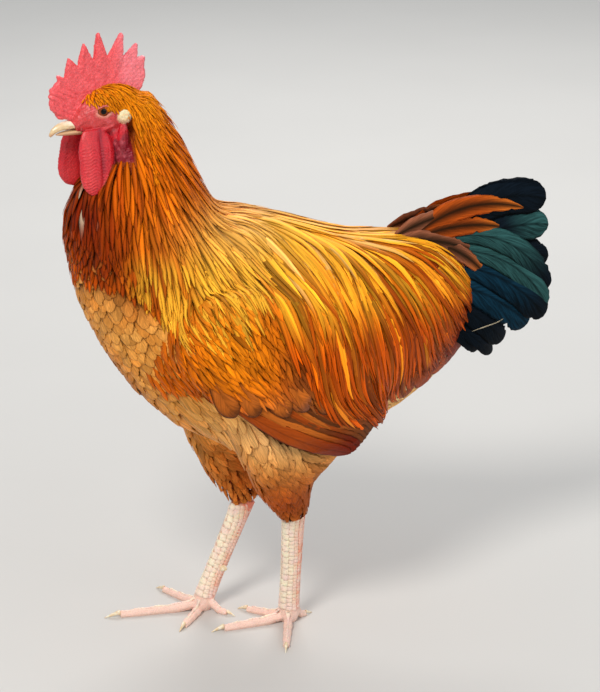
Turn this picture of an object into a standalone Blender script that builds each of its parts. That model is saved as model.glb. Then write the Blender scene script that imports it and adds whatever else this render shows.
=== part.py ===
"""A standing cock, the male domestic chicken, as a still life-size model parted into its named pieces.

Units are metres, +Z is up and the floor is z = 0. The bird faces -X, so its left side is -Y.
The solids have the outer shape of the plumage. Soft pieces are carved back by their neighbours,
which leaves GAP between any two pieces that touch. Head pieces are modelled round the middle of
the skull, between the eyes, and hang on an empty that turns the head a little to the left.
"""

import math
from typing import NamedTuple

import bmesh
import bpy
from mathutils import Matrix, Vector

MM = 0.001
GAP = 0.3 * MM  # left between two pieces that touch
LEFT, RIGHT = -1, 1  # the sign of y on each side
SIDE_NAMES = {LEFT: "left", RIGHT: "right"}
UP, ACROSS, ALONG = Vector((0, 0, 1)), Vector((0, 1, 0)), Vector((1, 0, 0))

HEAD_CENTRE = Vector((-199.4, 0, 551.8)) * MM
HEAD_TURN = math.radians(14)  # to the bird's left

EYEBALL_RADIUS = 7.6 * MM
EYE_CENTRE = Vector((-1.0, 11.2, 1.5)) * MM  # of the right eye, from the head's centre
EARLOBE_CENTRE = Vector((20.5, 17.5, -5.4)) * MM
EARLOBE_SIZE = Vector((7.9, 4.2, 7.2)) * MM
LAPPET_CENTRE = Vector((18.5, 17.0, -29.0)) * MM
LAPPET_SIZE = Vector((5.6, 3.4, 17.0)) * MM
WATTLE_TURN = math.radians(8)  # each wattle's lower edge swings forward and outward

FLOOR_SINK = 1.2 * MM  # how much of each toe's round underside is cut flat at the floor
TAIL_ROOT = Vector((125, 0, 360)) * MM


class Station(NamedTuple):
    """One key section of a swept body, in millimetres."""

    x: float
    y: float
    z: float
    half_width: float
    rise: float  # from the centre up to the top
    drop: float  # from the centre down to the underside


class Toe(NamedTuple):
    """One toe, in degrees and millimetres."""

    name: str
    heading: float  # from straight ahead towards the bird's outer side
    lift: float  # of its root's centre over the floor
    reach: float  # from the ball of the foot to the claw's tip
    claw: float
    thickness: float


class Leg(NamedTuple):
    """Where one leg stands and how it is bent. Its middle toe comes first."""

    side: int
    hip: Vector
    knee: Vector
    hock: Vector
    ball: Vector
    toes: tuple


LEGS = (
    Leg(
        LEFT,
        hip=Vector((-52, -56, 262)) * MM,
        knee=Vector((-44, -59, 214)) * MM,
        hock=Vector((-15, -30, 130)) * MM,
        ball=Vector((-17, -17, 11)) * MM,
        toes=(
            Toe("middle", 4, 6.5, 84, 14, 10.0),
            Toe("inner", -43, 6, 60, 12, 9.0),
            Toe("outer", 72, 6, 76, 13, 9.0),
            Toe("hind", -160, 13, 30, 9, 8.0),
        ),
    ),
    Leg(
        RIGHT,
        hip=Vector((-64, 56, 254)) * MM,
        knee=Vector((-76, 58, 206)) * MM,
        hock=Vector((-48, 36, 122)) * MM,
        ball=Vector((-95, 34, 11)) * MM,
        toes=(
            Toe("middle", 3, 6.5, 104, 17, 10.0),
            Toe("inner", -52, 6, 60, 12, 9.5),
            Toe("outer", 60, 6, 72, 13, 9.0),
            Toe("hind", -134, 13, 39, 10, 8.0),
        ),
    ),
)

TRUNK = (
    Station(-228, 0, 398, 8, 8, 8),
    Station(-218, 0, 398, 27, 30, 24),
    Station(-192, 0, 386, 49, 58, 46),
    Station(-152, 0, 361, 69, 89, 76),
    Station(-102, 0, 338, 88, 111, 112),
    Station(-45, 0, 325, 98, 109, 132),
    Station(10, 0, 318, 95, 97, 129),
    Station(60, 0, 316, 85, 88, 108),
    Station(105, 0, 322, 67, 81, 84),
    Station(140, 0, 329, 47, 69, 66),
    Station(166, 0, 333, 25, 46, 45),
    Station(176, 0, 334, 8, 12, 12),
)

WING = (
    Station(-146, 76, 338, 4, 10, 10),
    Station(-134, 82, 337, 12, 36, 30),
    Station(-106, 90, 333, 16, 56, 52),
    Station(-66, 94, 322, 17, 62, 69),
    Station(-24, 95, 306, 16, 58, 75),
    Station(14, 90, 282, 14, 47, 67),
    Station(39, 83, 252, 10, 34, 36),
    Station(53, 78, 237, 4, 12, 10),
)

HEAD = (
    Station(47, 0, 1, 4, 4, 4),
    Station(42, 0, 1, 12, 12, 14),
    Station(30, 0, 0, 16.5, 20, 22),
    Station(14, 0, 0, 18, 23, 26),
    Station(0, 0, -1, 17.8, 21, 26.5),
    Station(-12, 0, -4, 15.5, 15, 22.5),
    Station(-21, 0, -8, 11.5, 8.5, 16),
    Station(-27, 0, -11, 7, 4, 8),
)

UPPER_BEAK = (
    Station(-14, 0, -12.5, 8.2, 7.5, 2.6),
    Station(-24, 0, -12.5, 7.2, 5.4, 2.6),
    Station(-33, 0, -12.8, 5.8, 5.6, 2.6),
    Station(-41, 0, -14.0, 4.0, 4.6, 2.4),
    Station(-47, 0, -16.8, 2.4, 3.0, 2.4),
    Station(-50.2, 0, -20.6, 0.8, 1.2, 1.4),
)

LOWER_BEAK = (
    Station(-14, 0, -18.4, 6.8, 2.2, 4.0),
    Station(-24, 0, -18.4, 5.8, 2.1, 3.6),
    Station(-33, 0, -18.6, 4.3, 1.9, 2.8),
    Station(-40, 0, -19.0, 2.6, 1.2, 1.9),
    Station(-44, 0, -19.6, 0.8, 0.5, 0.6),
)

# The neck is given by its front and back edges and its half width at each level, in millimetres.
NECK = (
    ((-190, 514), (-150, 566), 20),
    ((-207, 492), (-131, 538), 28),
    ((-227, 468), (-116, 509), 38),
    ((-234, 438), (-103, 477), 49),
    ((-232, 410), (-89, 450), 59),
    ((-221, 384), (-74, 424), 68),
    ((-200, 360), (-70, 402), 73),
)

class Spike(NamedTuple):
    """One point of the comb and the notch behind it, in millimetres."""

    tip_x: float
    tip_z: float
    notch_x: float
    notch_z: float


COMB_FRONT = ((-22, -8), (-31, -7), (-40, -4), (-46, 2), (-48.5, 10), (-49, 19))
COMB_SPIKES = (
    Spike(-47.5, 25, -40.5, 31),
    Spike(-41.5, 38, -33, 33),
    Spike(-29, 53.5, -19, 43),
    Spike(-12.5, 65.5, -3, 47),
    Spike(2.5, 73.5, 12, 49),
    Spike(27.5, 71, 28, 46),
    Spike(43.5, 59.5, 42, 43),
    Spike(51, 45.5, 50, 34),
)
COMB_HEEL = ((50, 25), (47, 16), (42, 11), (30, 9), (0, 4))
COMB_TIP_BLUNTING = 2.5  # how far down its flanks a spike is rounded off, in millimetres
COMB_MIDDLE = Vector((0, 30))  # the outline shrinks towards this point, in millimetres
COMB_LAYERS = ((-2.6, 0.965), (-0.9, 1.0), (0.9, 1.0), (2.6, 0.965))  # y and size of the outline


class TailBlade(NamedTuple):
    """The rounded tip of one tail feather, seen from the side: degrees and millimetres."""

    angle: float
    reach: float
    half_width: float


TAIL_BLADES = (
    TailBlade(104, 50, 16),
    TailBlade(82, 64, 15),
    TailBlade(63, 86, 17),
    TailBlade(48, 108, 15),
    TailBlade(37, 149, 19),
    TailBlade(21, 151, 19),
    TailBlade(3, 141, 19),
    TailBlade(-10, 137, 18),
    TailBlade(-23, 153, 18),
    TailBlade(-37, 120, 17),
    TailBlade(-50, 86, 15),
)
TAIL_TIP_ROUND = 40 * MM  # half length of a blade's rounded end
TAIL_CORE = 40 * MM  # reach of the fan between its blades' ends
TAIL_ROOT_HALF_WIDTH = 34 * MM
TAIL_TOP_HALF_WIDTH = 1.5 * MM  # at the rim of the uppermost blade
TAIL_LOW_HALF_WIDTH = 17 * MM  # at the rim of the lowest blade


def clear_scene():
    """Removes whatever the file opened with."""
    for obj in list(bpy.data.objects):
        bpy.data.objects.remove(obj, do_unlink=True)


def material(name, colour, roughness, coat=0.0):
    """A plain surface in one linear colour."""
    made = bpy.data.materials.new(name)
    made.use_nodes = True
    shader = made.node_tree.nodes["Principled BSDF"]
    shader.inputs["Base Color"].default_value = (*colour, 1.0)
    shader.inputs["Roughness"].default_value = roughness
    shader.inputs["Metallic"].default_value = 0.0
    shader.inputs["Coat Weight"].default_value = coat
    return made


def make_materials():
    """Every surface of the bird, by the name that the pieces use."""
    return {
        "golden_plumage": material("golden_plumage", (0.55, 0.22, 0.03), 0.5),
        "hackle": material("hackle", (0.50, 0.16, 0.01), 0.4),
        "wing_plumage": material("wing_plumage", (0.33, 0.11, 0.02), 0.45),
        "buff_plumage": material("buff_plumage", (0.50, 0.26, 0.07), 0.6),
        "tail_plumage": material("tail_plumage", (0.010, 0.030, 0.035), 0.3),
        "red_skin": material("red_skin", (0.62, 0.04, 0.045), 0.5),
        "pale_lobe": material("pale_lobe", (0.75, 0.68, 0.45), 0.55),
        "horn": material("horn", (0.68, 0.52, 0.28), 0.35),
        "leg_scale": material("leg_scale", (0.78, 0.52, 0.36), 0.5),
        "eye": material("eye", (0.30, 0.09, 0.02), 0.05, coat=1.0),
    }


def spline(keys, count):
    """Rows of numbers read at count even steps along a smooth curve through the key rows."""
    rows = []
    last = len(keys) - 1
    for step in range(count):
        place = step * last / (count - 1)
        i = min(int(place), last - 1)
        t = place - i
        before, start = keys[max(i - 1, 0)], keys[i]
        end, after = keys[i + 1], keys[min(i + 2, last)]
        rows.append(
            [
                0.5
                * (
                    2 * b
                    + (c - a) * t
                    + (2 * a - 5 * b + 4 * c - d) * t**2
                    + (3 * b - a - 3 * c + d) * t**3
                )
                for a, b, c, d in zip(before, start, end, after)
            ]
        )
    return rows


def oval(centre, across, up, half_width, rise, drop, sides, pinch=0.0):
    """The points of one section. Pinch narrows it towards its underside."""
    points = []
    for k in range(sides):
        angle = 2 * math.pi * k / sides
        c, s = math.cos(angle), math.sin(angle)
        width = half_width * (1 - pinch * max(-s, 0.0))
        points.append(centre + across * width * c + up * s * (rise if s > 0 else drop))
    return points


def skin_rings(rings):
    """A closed mesh through rings of equal length, capped at both ends."""
    bm = bmesh.new()
    loops = [[bm.verts.new(p) for p in ring] for ring in rings]
    for near, far in zip(loops, loops[1:]):
        for k in range(len(near)):
            j = (k + 1) % len(near)
            bm.faces.new((near[k], near[j], far[j], far[k]))
    bm.faces.new(reversed(loops[0]))
    bm.faces.new(loops[-1])
    bmesh.ops.recalc_face_normals(bm, faces=bm.faces)
    quads = [face for face in bm.faces if len(face.verts) == 4]
    bmesh.ops.triangulate(bm, faces=quads, quad_method="FIXED")
    return bm


def grown(bm):
    """The body made GAP larger all round, for carving the room that it needs out of its neighbours."""
    bm.normal_update()
    moves = [(vert, vert.normal * GAP) for vert in bm.verts]
    for vert, move in moves:
        vert.co += move
    return bm


def sweep(keys, reference=UP, sides=12, count=10, pinch=0.0):
    """A body swept through its stations, which stand square to the path."""
    rows = spline([tuple(value * MM for value in key) for key in keys], count)
    centres = [Vector(row[:3]) for row in rows]
    rings = []
    for i, (centre, row) in enumerate(zip(centres, rows)):
        along = centres[min(i + 1, count - 1)] - centres[max(i - 1, 0)]
        along.normalize()
        up = (reference - along * reference.dot(along)).normalized()
        width, rise, drop = (max(value, 0.2 * MM) for value in row[3:])
        rings.append(oval(centre, up.cross(along), up, width, rise, drop, sides, pinch))
    return skin_rings(rings)


def ball(centre, size, segments=12, rows=8):
    """An ellipsoid of three half sizes."""
    bm = bmesh.new()
    bmesh.ops.create_uvsphere(bm, u_segments=segments, v_segments=rows, radius=1.0)
    scale = Matrix.Diagonal((*size, 1.0))
    bmesh.ops.transform(bm, matrix=Matrix.Translation(centre) @ scale, verts=bm.verts)
    return bm


def mirrored(vector, side):
    """The vector for that side, from the one for the right side."""
    return Vector((vector.x, vector.y * side, vector.z))


def mirrored_stations(stations, side):
    """The stations for that side, from those for the right side."""
    return [station._replace(y=station.y * side) for station in stations]


def add(bm, name, surface, parent, smooth_angle=50):
    """Turns a bmesh into an object of the bird, shaded smooth."""
    mesh = bpy.data.meshes.new(name)
    bm.to_mesh(mesh)
    bm.free()
    mesh.materials.append(surface)
    mesh.shade_smooth()
    mesh.set_sharp_from_angle(angle=math.radians(smooth_angle))
    obj = bpy.data.objects.new(name, mesh)
    bpy.context.scene.collection.objects.link(obj)
    obj.parent = parent
    return obj


def room_of(bm, name, parent):
    """A hidden body that carves the room of one piece out of others."""
    obj = add(grown(bm), "room_of_" + name, None, parent)
    obj.hide_render = True
    obj.display_type = "WIRE"
    return obj


def carve(obj, *rooms):
    """Takes the rooms of other pieces out of the object."""
    for other in rooms:
        modifier = obj.modifiers.new("leave_" + other.name, "BOOLEAN")
        modifier.operation = "DIFFERENCE"
        modifier.solver = "EXACT"
        modifier.object = other


def trunk_body():
    """Breast, back and belly in one, out to the tips of the feathers."""
    return sweep(TRUNK, sides=24, count=17, pinch=0.2)


def neck_body():
    """The hackle cape, from the nape and throat down over the shoulders."""
    rings = []
    for row in spline([(*front, *back, half) for front, back, half in NECK], 8):
        front = Vector((row[0], 0, row[1])) * MM
        back = Vector((row[2], 0, row[3])) * MM
        half = (back - front).length / 2
        backward = (back - front).normalized()
        middle = (front + back) / 2
        rings.append(oval(middle, ACROSS, backward, row[4] * MM, half, half, 18, pinch=0.3))
    return skin_rings(rings)


def head_body():
    """The skull with its bare face, from the root of the beak to the nape."""
    return sweep(HEAD, sides=16, count=10)


def wing_body(side):
    """A folded wing lying along the flank."""
    return sweep(mirrored_stations(WING, side), sides=14, count=10)


def thigh_body(leg):
    """The feathered leg from the flank down to a cuff round the hock, with its fluff behind."""
    cuff = leg.hock + (leg.hock - leg.knee).normalized() * 5 * MM
    path = (
        (leg.hip, 30, 34, 88),
        (leg.knee, 31, 32, 88),
        (leg.knee.lerp(leg.hock, 0.30), 28, 31, 64),
        (leg.knee.lerp(leg.hock, 0.55), 24, 29, 31),
        (leg.knee.lerp(leg.hock, 0.80), 18, 23, 20),
        (cuff, 12.5, 15, 13),
    )
    keys = [(*(point / MM), width, ahead, behind) for point, width, ahead, behind in path]
    return sweep(keys, reference=-ALONG, sides=16, count=10)


def wattle_body(side):
    """One wattle, a thick flap hung from the side of the lower jaw."""
    shape = (
        Station(-11, 13, -16, 3.4, 10, 11),
        Station(-10, 15.5, -30, 4.4, 17, 18),
        Station(-9.5, 18, -46, 5.0, 18, 18.5),
        Station(-10, 19, -62, 4.8, 17.5, 18),
        Station(-11, 19, -73, 3.6, 13, 13.5),
        Station(-12, 19, -78.5, 1.6, 6, 6),
    )
    bm = sweep(mirrored_stations(shape, side), reference=ALONG, sides=14, count=9)
    if side == RIGHT:
        hinge = Vector((0, 14, -15)) * MM
        turn = Matrix.Rotation(WATTLE_TURN, 4, "Y")
        about = Matrix.Translation(hinge) @ turn @ Matrix.Translation(-hinge)
        bmesh.ops.transform(bm, matrix=about, verts=bm.verts)
    return bm


def lobe_body(centre, size, side):
    """A soft lobe on the cheek, given by its centre and half sizes on the right side."""
    return ball(mirrored(centre, side), size)


def comb_outline():
    """The comb's edge as (x, z) from its front foot over the spikes to its heel, in millimetres."""
    outline = [Vector(point) for point in COMB_FRONT]
    for spike in COMB_SPIKES:
        before, tip = outline[-1], Vector((spike.tip_x, spike.tip_z))
        notch = Vector((spike.notch_x, spike.notch_z))
        front = (before - tip).normalized() * COMB_TIP_BLUNTING
        back = (notch - tip).normalized() * COMB_TIP_BLUNTING
        outline += [tip + front, tip + (front + back) * 0.2, tip + back, notch]
    return outline + [Vector(point) for point in COMB_HEEL]


def comb_body():
    """The single comb: a plate that thins out towards its edge, with pointed spikes."""
    rings = []
    for y, size in COMB_LAYERS:
        points = [COMB_MIDDLE.lerp(point, size) for point in comb_outline()]
        rings.append([Vector((point.x, y, point.y)) * MM for point in points])
    return skin_rings(rings)


def blade_reach(angle, blade):
    """How far a blade's rounded end reaches from the tail's root along one direction."""
    offset = angle - math.radians(blade.angle)
    end, half = TAIL_TIP_ROUND, blade.half_width * MM
    middle = blade.reach * MM - end
    c, s = math.cos(offset) / end, math.sin(offset) / half
    m = middle / end
    a, b, k = c * c + s * s, -2 * c * m, m * m - 1
    inside = b * b - 4 * a * k
    if inside < 0 or math.cos(offset) < 0:
        return 0.0
    return (-b + math.sqrt(inside)) / (2 * a)


def tail_body():
    """The fan of tail feathers: a lens with a scalloped rim, thick at the root and below."""
    first = math.radians(TAIL_BLADES[-1].angle - 8)
    last = math.radians(TAIL_BLADES[0].angle + 10)
    columns, rows = 38, 3
    loops = []
    for i in range(columns):
        place = i / (columns - 1)
        angle = first + (last - first) * place
        reach = max(TAIL_CORE, *(blade_reach(angle, blade) for blade in TAIL_BLADES))
        ray = Vector((math.cos(angle), 0, math.sin(angle)))
        rim = TAIL_LOW_HALF_WIDTH + (TAIL_TOP_HALF_WIDTH - TAIL_LOW_HALF_WIDTH) * place
        end_fade = math.sin(math.pi * min(max(place, 0.04), 0.96)) ** 0.5
        outward, homeward = [], []
        for j in range(rows):
            share = 0.25 + 0.75 * j / (rows - 1)
            thinning = (1 - share**4) ** 0.5
            half = TAIL_TOP_HALF_WIDTH / 2 + rim * thinning * end_fade
            half += (TAIL_ROOT_HALF_WIDTH - rim) * (1 - share) * end_fade
            point = TAIL_ROOT + ray * reach * share
            outward.append(point + ACROSS * half)
            homeward.append(point - ACROSS * half)
        loops.append(outward + homeward[::-1])
    return skin_rings(loops)


def shank_body(leg):
    """The bare shank from inside the feather cuff to the ball of the foot."""
    path = (
        (leg.hock.lerp(leg.ball, 0.03), 8.6, 12.0),
        (leg.hock.lerp(leg.ball, 0.20), 7.8, 11.2),
        (leg.hock.lerp(leg.ball, 0.50), 7.2, 10.2),
        (leg.hock.lerp(leg.ball, 0.80), 7.6, 10.0),
        (leg.hock.lerp(leg.ball, 0.93), 9.2, 10.4),
        (leg.ball - UP * 2 * MM, 9.8, 10.5),
        (leg.ball - UP * 8 * MM, 8.5, 9.0),
        (leg.ball - UP * 12 * MM, 6.0, 6.5),
    )
    keys = [(*(point / MM), width, depth, depth) for point, width, depth in path]
    return sweep(keys, reference=ALONG, sides=10, count=11)


def toe_ends(leg, toe):
    """The toe's heading and the points over the floor where it starts, turns to claw and ends."""
    yaw = math.radians(toe.heading * leg.side)
    heading = Vector((-math.cos(yaw), math.sin(yaw), 0))
    foot = Vector((leg.ball.x, leg.ball.y, 0))
    root = foot + heading * 7 * MM + UP * toe.lift * MM
    tip = foot + heading * toe.reach * MM
    return heading, root, tip - heading * toe.claw * MM, tip


def cut_flat(bm, point=(0, 0, 0), outward=(0, 0, -1)):
    """Cuts off what lies beyond a plane and closes the piece there. The plane is the floor by default."""
    geometry = bm.verts[:] + bm.edges[:] + bm.faces[:]
    bmesh.ops.bisect_plane(bm, geom=geometry, plane_co=point, plane_no=outward, clear_outer=True)
    rim = [edge for edge in bm.edges if edge.is_boundary]
    if rim:
        bmesh.ops.holes_fill(bm, edges=rim, sides=0)
    bmesh.ops.recalc_face_normals(bm, faces=bm.faces)
    return bm


def toe_body(leg, toe):
    """One toe with its joints' swellings, lying on the floor."""
    heading, root, end, _ = toe_ends(leg, toe)
    beyond = end + heading * 2 * MM
    radius = toe.thickness / 2
    stations = 9
    keys = []
    for k in range(stations):
        share = k / (stations - 1)
        swell = 0.5 if k % 2 == 0 else -0.3
        half = (radius + swell) * (1 - 0.3 * share)
        point = root.lerp(beyond, share) / MM
        height = max(half - FLOOR_SINK / MM, point.z * (1 - share))
        keys.append((point.x, point.y, height, half, half, half))
    return cut_flat(cut_flat(sweep(keys, sides=8, count=stations), end, heading))


def claw_body(leg, toe):
    """A down-curved horn claw whose point meets the floor."""
    heading, _, root, tip = toe_ends(leg, toe)
    radius = toe.thickness / 2 * 0.66
    before = root - heading * 2 * MM
    keys = []
    for share in (0.0, 0.35, 0.7, 1.0):
        point = before.lerp(tip, share) / MM
        half = radius * (1 - 0.86 * share)
        lift = radius * 0.7 * (1 - share**2) + half - 0.25
        keys.append((point.x, point.y, max(lift, half - 0.4), half * 0.85, half, half))
    return cut_flat(cut_flat(sweep(keys, sides=6, count=5), root + heading * GAP, -heading))


def spur_body(leg):
    """The short blunt spur on the inner back of the shank."""
    root = leg.hock.lerp(leg.ball, 0.68)
    inward = Vector((0.6, -leg.side * 0.8, 0.0)).normalized()
    keys = []
    for out, half in ((4.0, 4.6), (8.0, 4.2), (11.5, 3.0), (13.5, 1.0)):
        point = (root + inward * out * MM) / MM
        keys.append((*point, half, half, half))
    return sweep(keys, sides=8, count=5)


def build_head(surfaces, parent):
    """Skull, beak, comb, wattles, lobes and eyes. Returns the rooms that the neck has to leave."""
    red, horn = surfaces["red_skin"], surfaces["horn"]
    head = add(head_body(), "head", red, parent)
    head_room = room_of(head_body(), "head", parent)
    neck_rooms = [head_room]

    upper = add(sweep(UPPER_BEAK), "beak_upper", horn, parent)
    upper_room = room_of(sweep(UPPER_BEAK), "beak_upper", parent)
    lower = add(sweep(LOWER_BEAK, sides=10, count=8), "beak_lower", horn, parent)
    lower_room = room_of(sweep(LOWER_BEAK, sides=10, count=8), "beak_lower", parent)
    carve(upper, head_room)
    carve(lower, head_room, upper_room)

    comb = add(comb_body(), "comb", red, parent)
    carve(comb, head_room, upper_room)

    for side, word in SIDE_NAMES.items():
        socket = mirrored(EYE_CENTRE, side)
        eye_size = Vector((EYEBALL_RADIUS,) * 3)
        add(ball(socket, eye_size), "eye_" + word, surfaces["eye"], parent)
        carve(head, room_of(ball(socket, eye_size), "eye_" + word, parent))

        wattle = add(wattle_body(side), "wattle_" + word, red, parent)
        wattle_room = room_of(wattle_body(side), "wattle_" + word, parent)
        carve(wattle, head_room, upper_room, lower_room)

        earlobe = lobe_body(EARLOBE_CENTRE, EARLOBE_SIZE, side)
        earlobe = add(earlobe, "earlobe_" + word, surfaces["pale_lobe"], parent)
        earlobe_room = lobe_body(EARLOBE_CENTRE, EARLOBE_SIZE, side)
        earlobe_room = room_of(earlobe_room, "earlobe_" + word, parent)
        carve(earlobe, head_room)

        lappet = add(lobe_body(LAPPET_CENTRE, LAPPET_SIZE, side), "lappet_" + word, red, parent)
        lappet_room = lobe_body(LAPPET_CENTRE, LAPPET_SIZE, side)
        lappet_room = room_of(lappet_room, "lappet_" + word, parent)
        carve(lappet, head_room, earlobe_room, wattle_room)
        neck_rooms += [wattle_room, earlobe_room, lappet_room]
    return neck_rooms


def build_leg(leg, surfaces, parent, body_rooms):
    """Thigh, shank, spur, toes and claws of one leg."""
    word = SIDE_NAMES[leg.side]
    scale, horn = surfaces["leg_scale"], surfaces["horn"]
    thigh = add(thigh_body(leg), "thigh_" + word, surfaces["buff_plumage"], parent)
    carve(thigh, *body_rooms)
    thigh_room = room_of(thigh_body(leg), "thigh_" + word, parent)

    shank = add(cut_flat(shank_body(leg)), "shank_" + word, scale, parent)
    carve(shank, thigh_room)
    shank_room = room_of(shank_body(leg), "shank_" + word, parent)
    carve(add(spur_body(leg), "spur_" + word, horn, parent), shank_room)

    middle_toe, *other_toes = leg.toes
    middle_toe_room = room_of(toe_body(leg, middle_toe), "toe_middle_" + word, parent)
    for toe in leg.toes:
        body = add(toe_body(leg, toe), f"toe_{toe.name}_{word}", scale, parent)
        carve(body, shank_room)
        if toe in other_toes:
            carve(body, middle_toe_room)
        add(claw_body(leg, toe), f"claw_{toe.name}_{word}", horn, parent)


def centre_footprint(root):
    """Moves the whole bird so that the middle of its bounding box is at x = y = 0."""
    bpy.context.view_layer.update()
    graph = bpy.context.evaluated_depsgraph_get()
    points = []
    for obj in bpy.context.scene.objects:
        if obj.type == "MESH" and not obj.hide_render:
            shape = obj.evaluated_get(graph)
            points += [shape.matrix_world @ vert.co for vert in shape.to_mesh().vertices]
    for axis in (0, 1):
        values = [point[axis] for point in points]
        root.location[axis] -= (min(values) + max(values)) / 2


def build_bird():
    """Puts the bird together from its pieces."""
    surfaces = make_materials()
    root = bpy.data.objects.new("bird", None)
    head_frame = bpy.data.objects.new("head_frame", None)
    for empty in (root, head_frame):
        bpy.context.scene.collection.objects.link(empty)
    head_frame.parent = root
    head_frame.location = HEAD_CENTRE
    head_frame.rotation_euler = (0, 0, HEAD_TURN)

    head_rooms = build_head(surfaces, head_frame)
    add(trunk_body(), "trunk", surfaces["golden_plumage"], root)
    trunk_room = room_of(trunk_body(), "trunk", root)
    neck = add(neck_body(), "neck", surfaces["hackle"], root)
    neck_room = room_of(neck_body(), "neck", root)
    carve(neck, trunk_room, *head_rooms)
    carve(add(tail_body(), "tail", surfaces["tail_plumage"], root), trunk_room)

    for leg in LEGS:
        word = SIDE_NAMES[leg.side]
        wing = add(wing_body(leg.side), "wing_" + word, surfaces["wing_plumage"], root)
        wing_room = room_of(wing_body(leg.side), "wing_" + word, root)
        carve(wing, trunk_room, neck_room)
        build_leg(leg, surfaces, root, (trunk_room, wing_room))

    centre_footprint(root)


clear_scene()
build_bird()
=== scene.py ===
"""A life-size standing rooster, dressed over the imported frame.

One skin carries the bare head, the legs and the flesh under the coat. The coat is built tract by
tract: every feather is a thin closed vane that starts in the skin and follows the lie of its tract.
Lengths are in metres; the bird faces -X and its left side is -Y.
"""
import logging
import math
from dataclasses import dataclass, field
from enum import Enum
from typing import Any, Sequence

import bmesh
import bpy
import numpy as np
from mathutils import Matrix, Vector
from mathutils.bvhtree import BVHTree
from mathutils.kdtree import KDTree


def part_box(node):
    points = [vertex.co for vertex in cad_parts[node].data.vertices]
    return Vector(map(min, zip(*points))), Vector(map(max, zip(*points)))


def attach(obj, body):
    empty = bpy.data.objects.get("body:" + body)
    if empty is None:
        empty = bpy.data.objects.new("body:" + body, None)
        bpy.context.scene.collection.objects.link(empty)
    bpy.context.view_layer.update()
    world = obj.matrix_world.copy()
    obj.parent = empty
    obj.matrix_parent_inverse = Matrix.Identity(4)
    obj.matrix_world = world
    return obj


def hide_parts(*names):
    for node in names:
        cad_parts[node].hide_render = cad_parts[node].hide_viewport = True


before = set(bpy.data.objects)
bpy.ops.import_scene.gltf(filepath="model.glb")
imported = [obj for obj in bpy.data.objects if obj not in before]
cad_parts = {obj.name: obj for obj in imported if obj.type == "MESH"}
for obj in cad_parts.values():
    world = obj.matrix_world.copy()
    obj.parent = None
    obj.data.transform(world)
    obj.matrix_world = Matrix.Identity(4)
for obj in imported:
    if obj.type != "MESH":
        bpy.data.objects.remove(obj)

LOG = logging.getLogger("rooster")
MM = 0.001
TOES = ("middle", "inner", "outer", "hind")
SIDES = ("left", "right")
SIGNS = {"left": -1.0, "right": 1.0}     # which way y runs
HEAD_PARTS = ("head", "comb", "wattle_left", "wattle_right", "earlobe_left", "earlobe_right",
              "lappet_left", "lappet_right")
LOBES = HEAD_PARTS[4:6]
RED_PARTS = HEAD_PARTS[:4] + HEAD_PARTS[6:]
LEGS = tuple([f"shank_{side}" for side in SIDES] + [f"toe_{toe}_{side}" for side in SIDES for toe in TOES])
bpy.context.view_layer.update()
PATCH = 0.003                           # the side of one feather's patch on the layout for the bake
SPARE_AXIS = (0.13, 0.98, 0.15)         # an axis that no tube runs along

Array = np.ndarray
Colour = tuple[float, float, float]
Material = bpy.types.Material
Piece = bpy.types.Object


# ---- Numbers ----

def unit(rows: Array) -> Array:
    """Return the rows scaled to length one."""
    return rows / np.maximum(np.linalg.norm(rows, axis=-1, keepdims=True), 1e-12)


def dot(a: Array, b: Array) -> Array:
    """Return the dot product of matching rows."""
    return np.sum(a * b, axis=-1)


def ease(low: float, high: float, x: Array) -> Array:
    """Ease from 0 at low to 1 at high.

    Args:
        low: value where the result leaves 0; it may be above high.
        high: value where the result reaches 1.
        x: the values to ease.

    Returns:
        Smooth shares from 0 to 1.
    """
    share = np.clip((x - low) / (high - low), 0, 1)
    return share * share * (3 - 2 * share)


def hill(x: Array, middle: float, spread: float) -> Array:
    """Return a bell that is 1 at the middle and fades over the spread."""
    return np.exp(-((x - middle) / spread) ** 2)


def ripple(points: Array, wavelength: float, seed: int, waves: int = 7) -> Array:
    """Return smooth noise of about -1 to 1 as a sum of slanted waves.

    Args:
        points: places, one per row.
        wavelength: the size of one bump.
        seed: picks the directions of the waves.
        waves: how many waves are summed.

    Returns:
        One number for each place.
    """
    rng = np.random.default_rng(seed)
    total = np.zeros(len(points))
    for _ in range(waves):
        heading = unit(rng.normal(size=(1, 3)))[0]
        pitch = 2 * np.pi / (wavelength * rng.uniform(0.7, 1.4))
        total += np.sin(points @ heading * pitch + rng.uniform(0, 2 * np.pi))
    return total / math.sqrt(waves)


def linear(red: float, green: float, blue: float) -> Colour:
    """Turn screen values of 0 to 255 into a linear colour."""
    shares = np.array([red, green, blue]) / 255
    return tuple(np.where(shares < 0.04045, shares / 12.92, ((shares + 0.055) / 1.055) ** 2.4).tolist())


# ---- Colours of the bird ----

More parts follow.
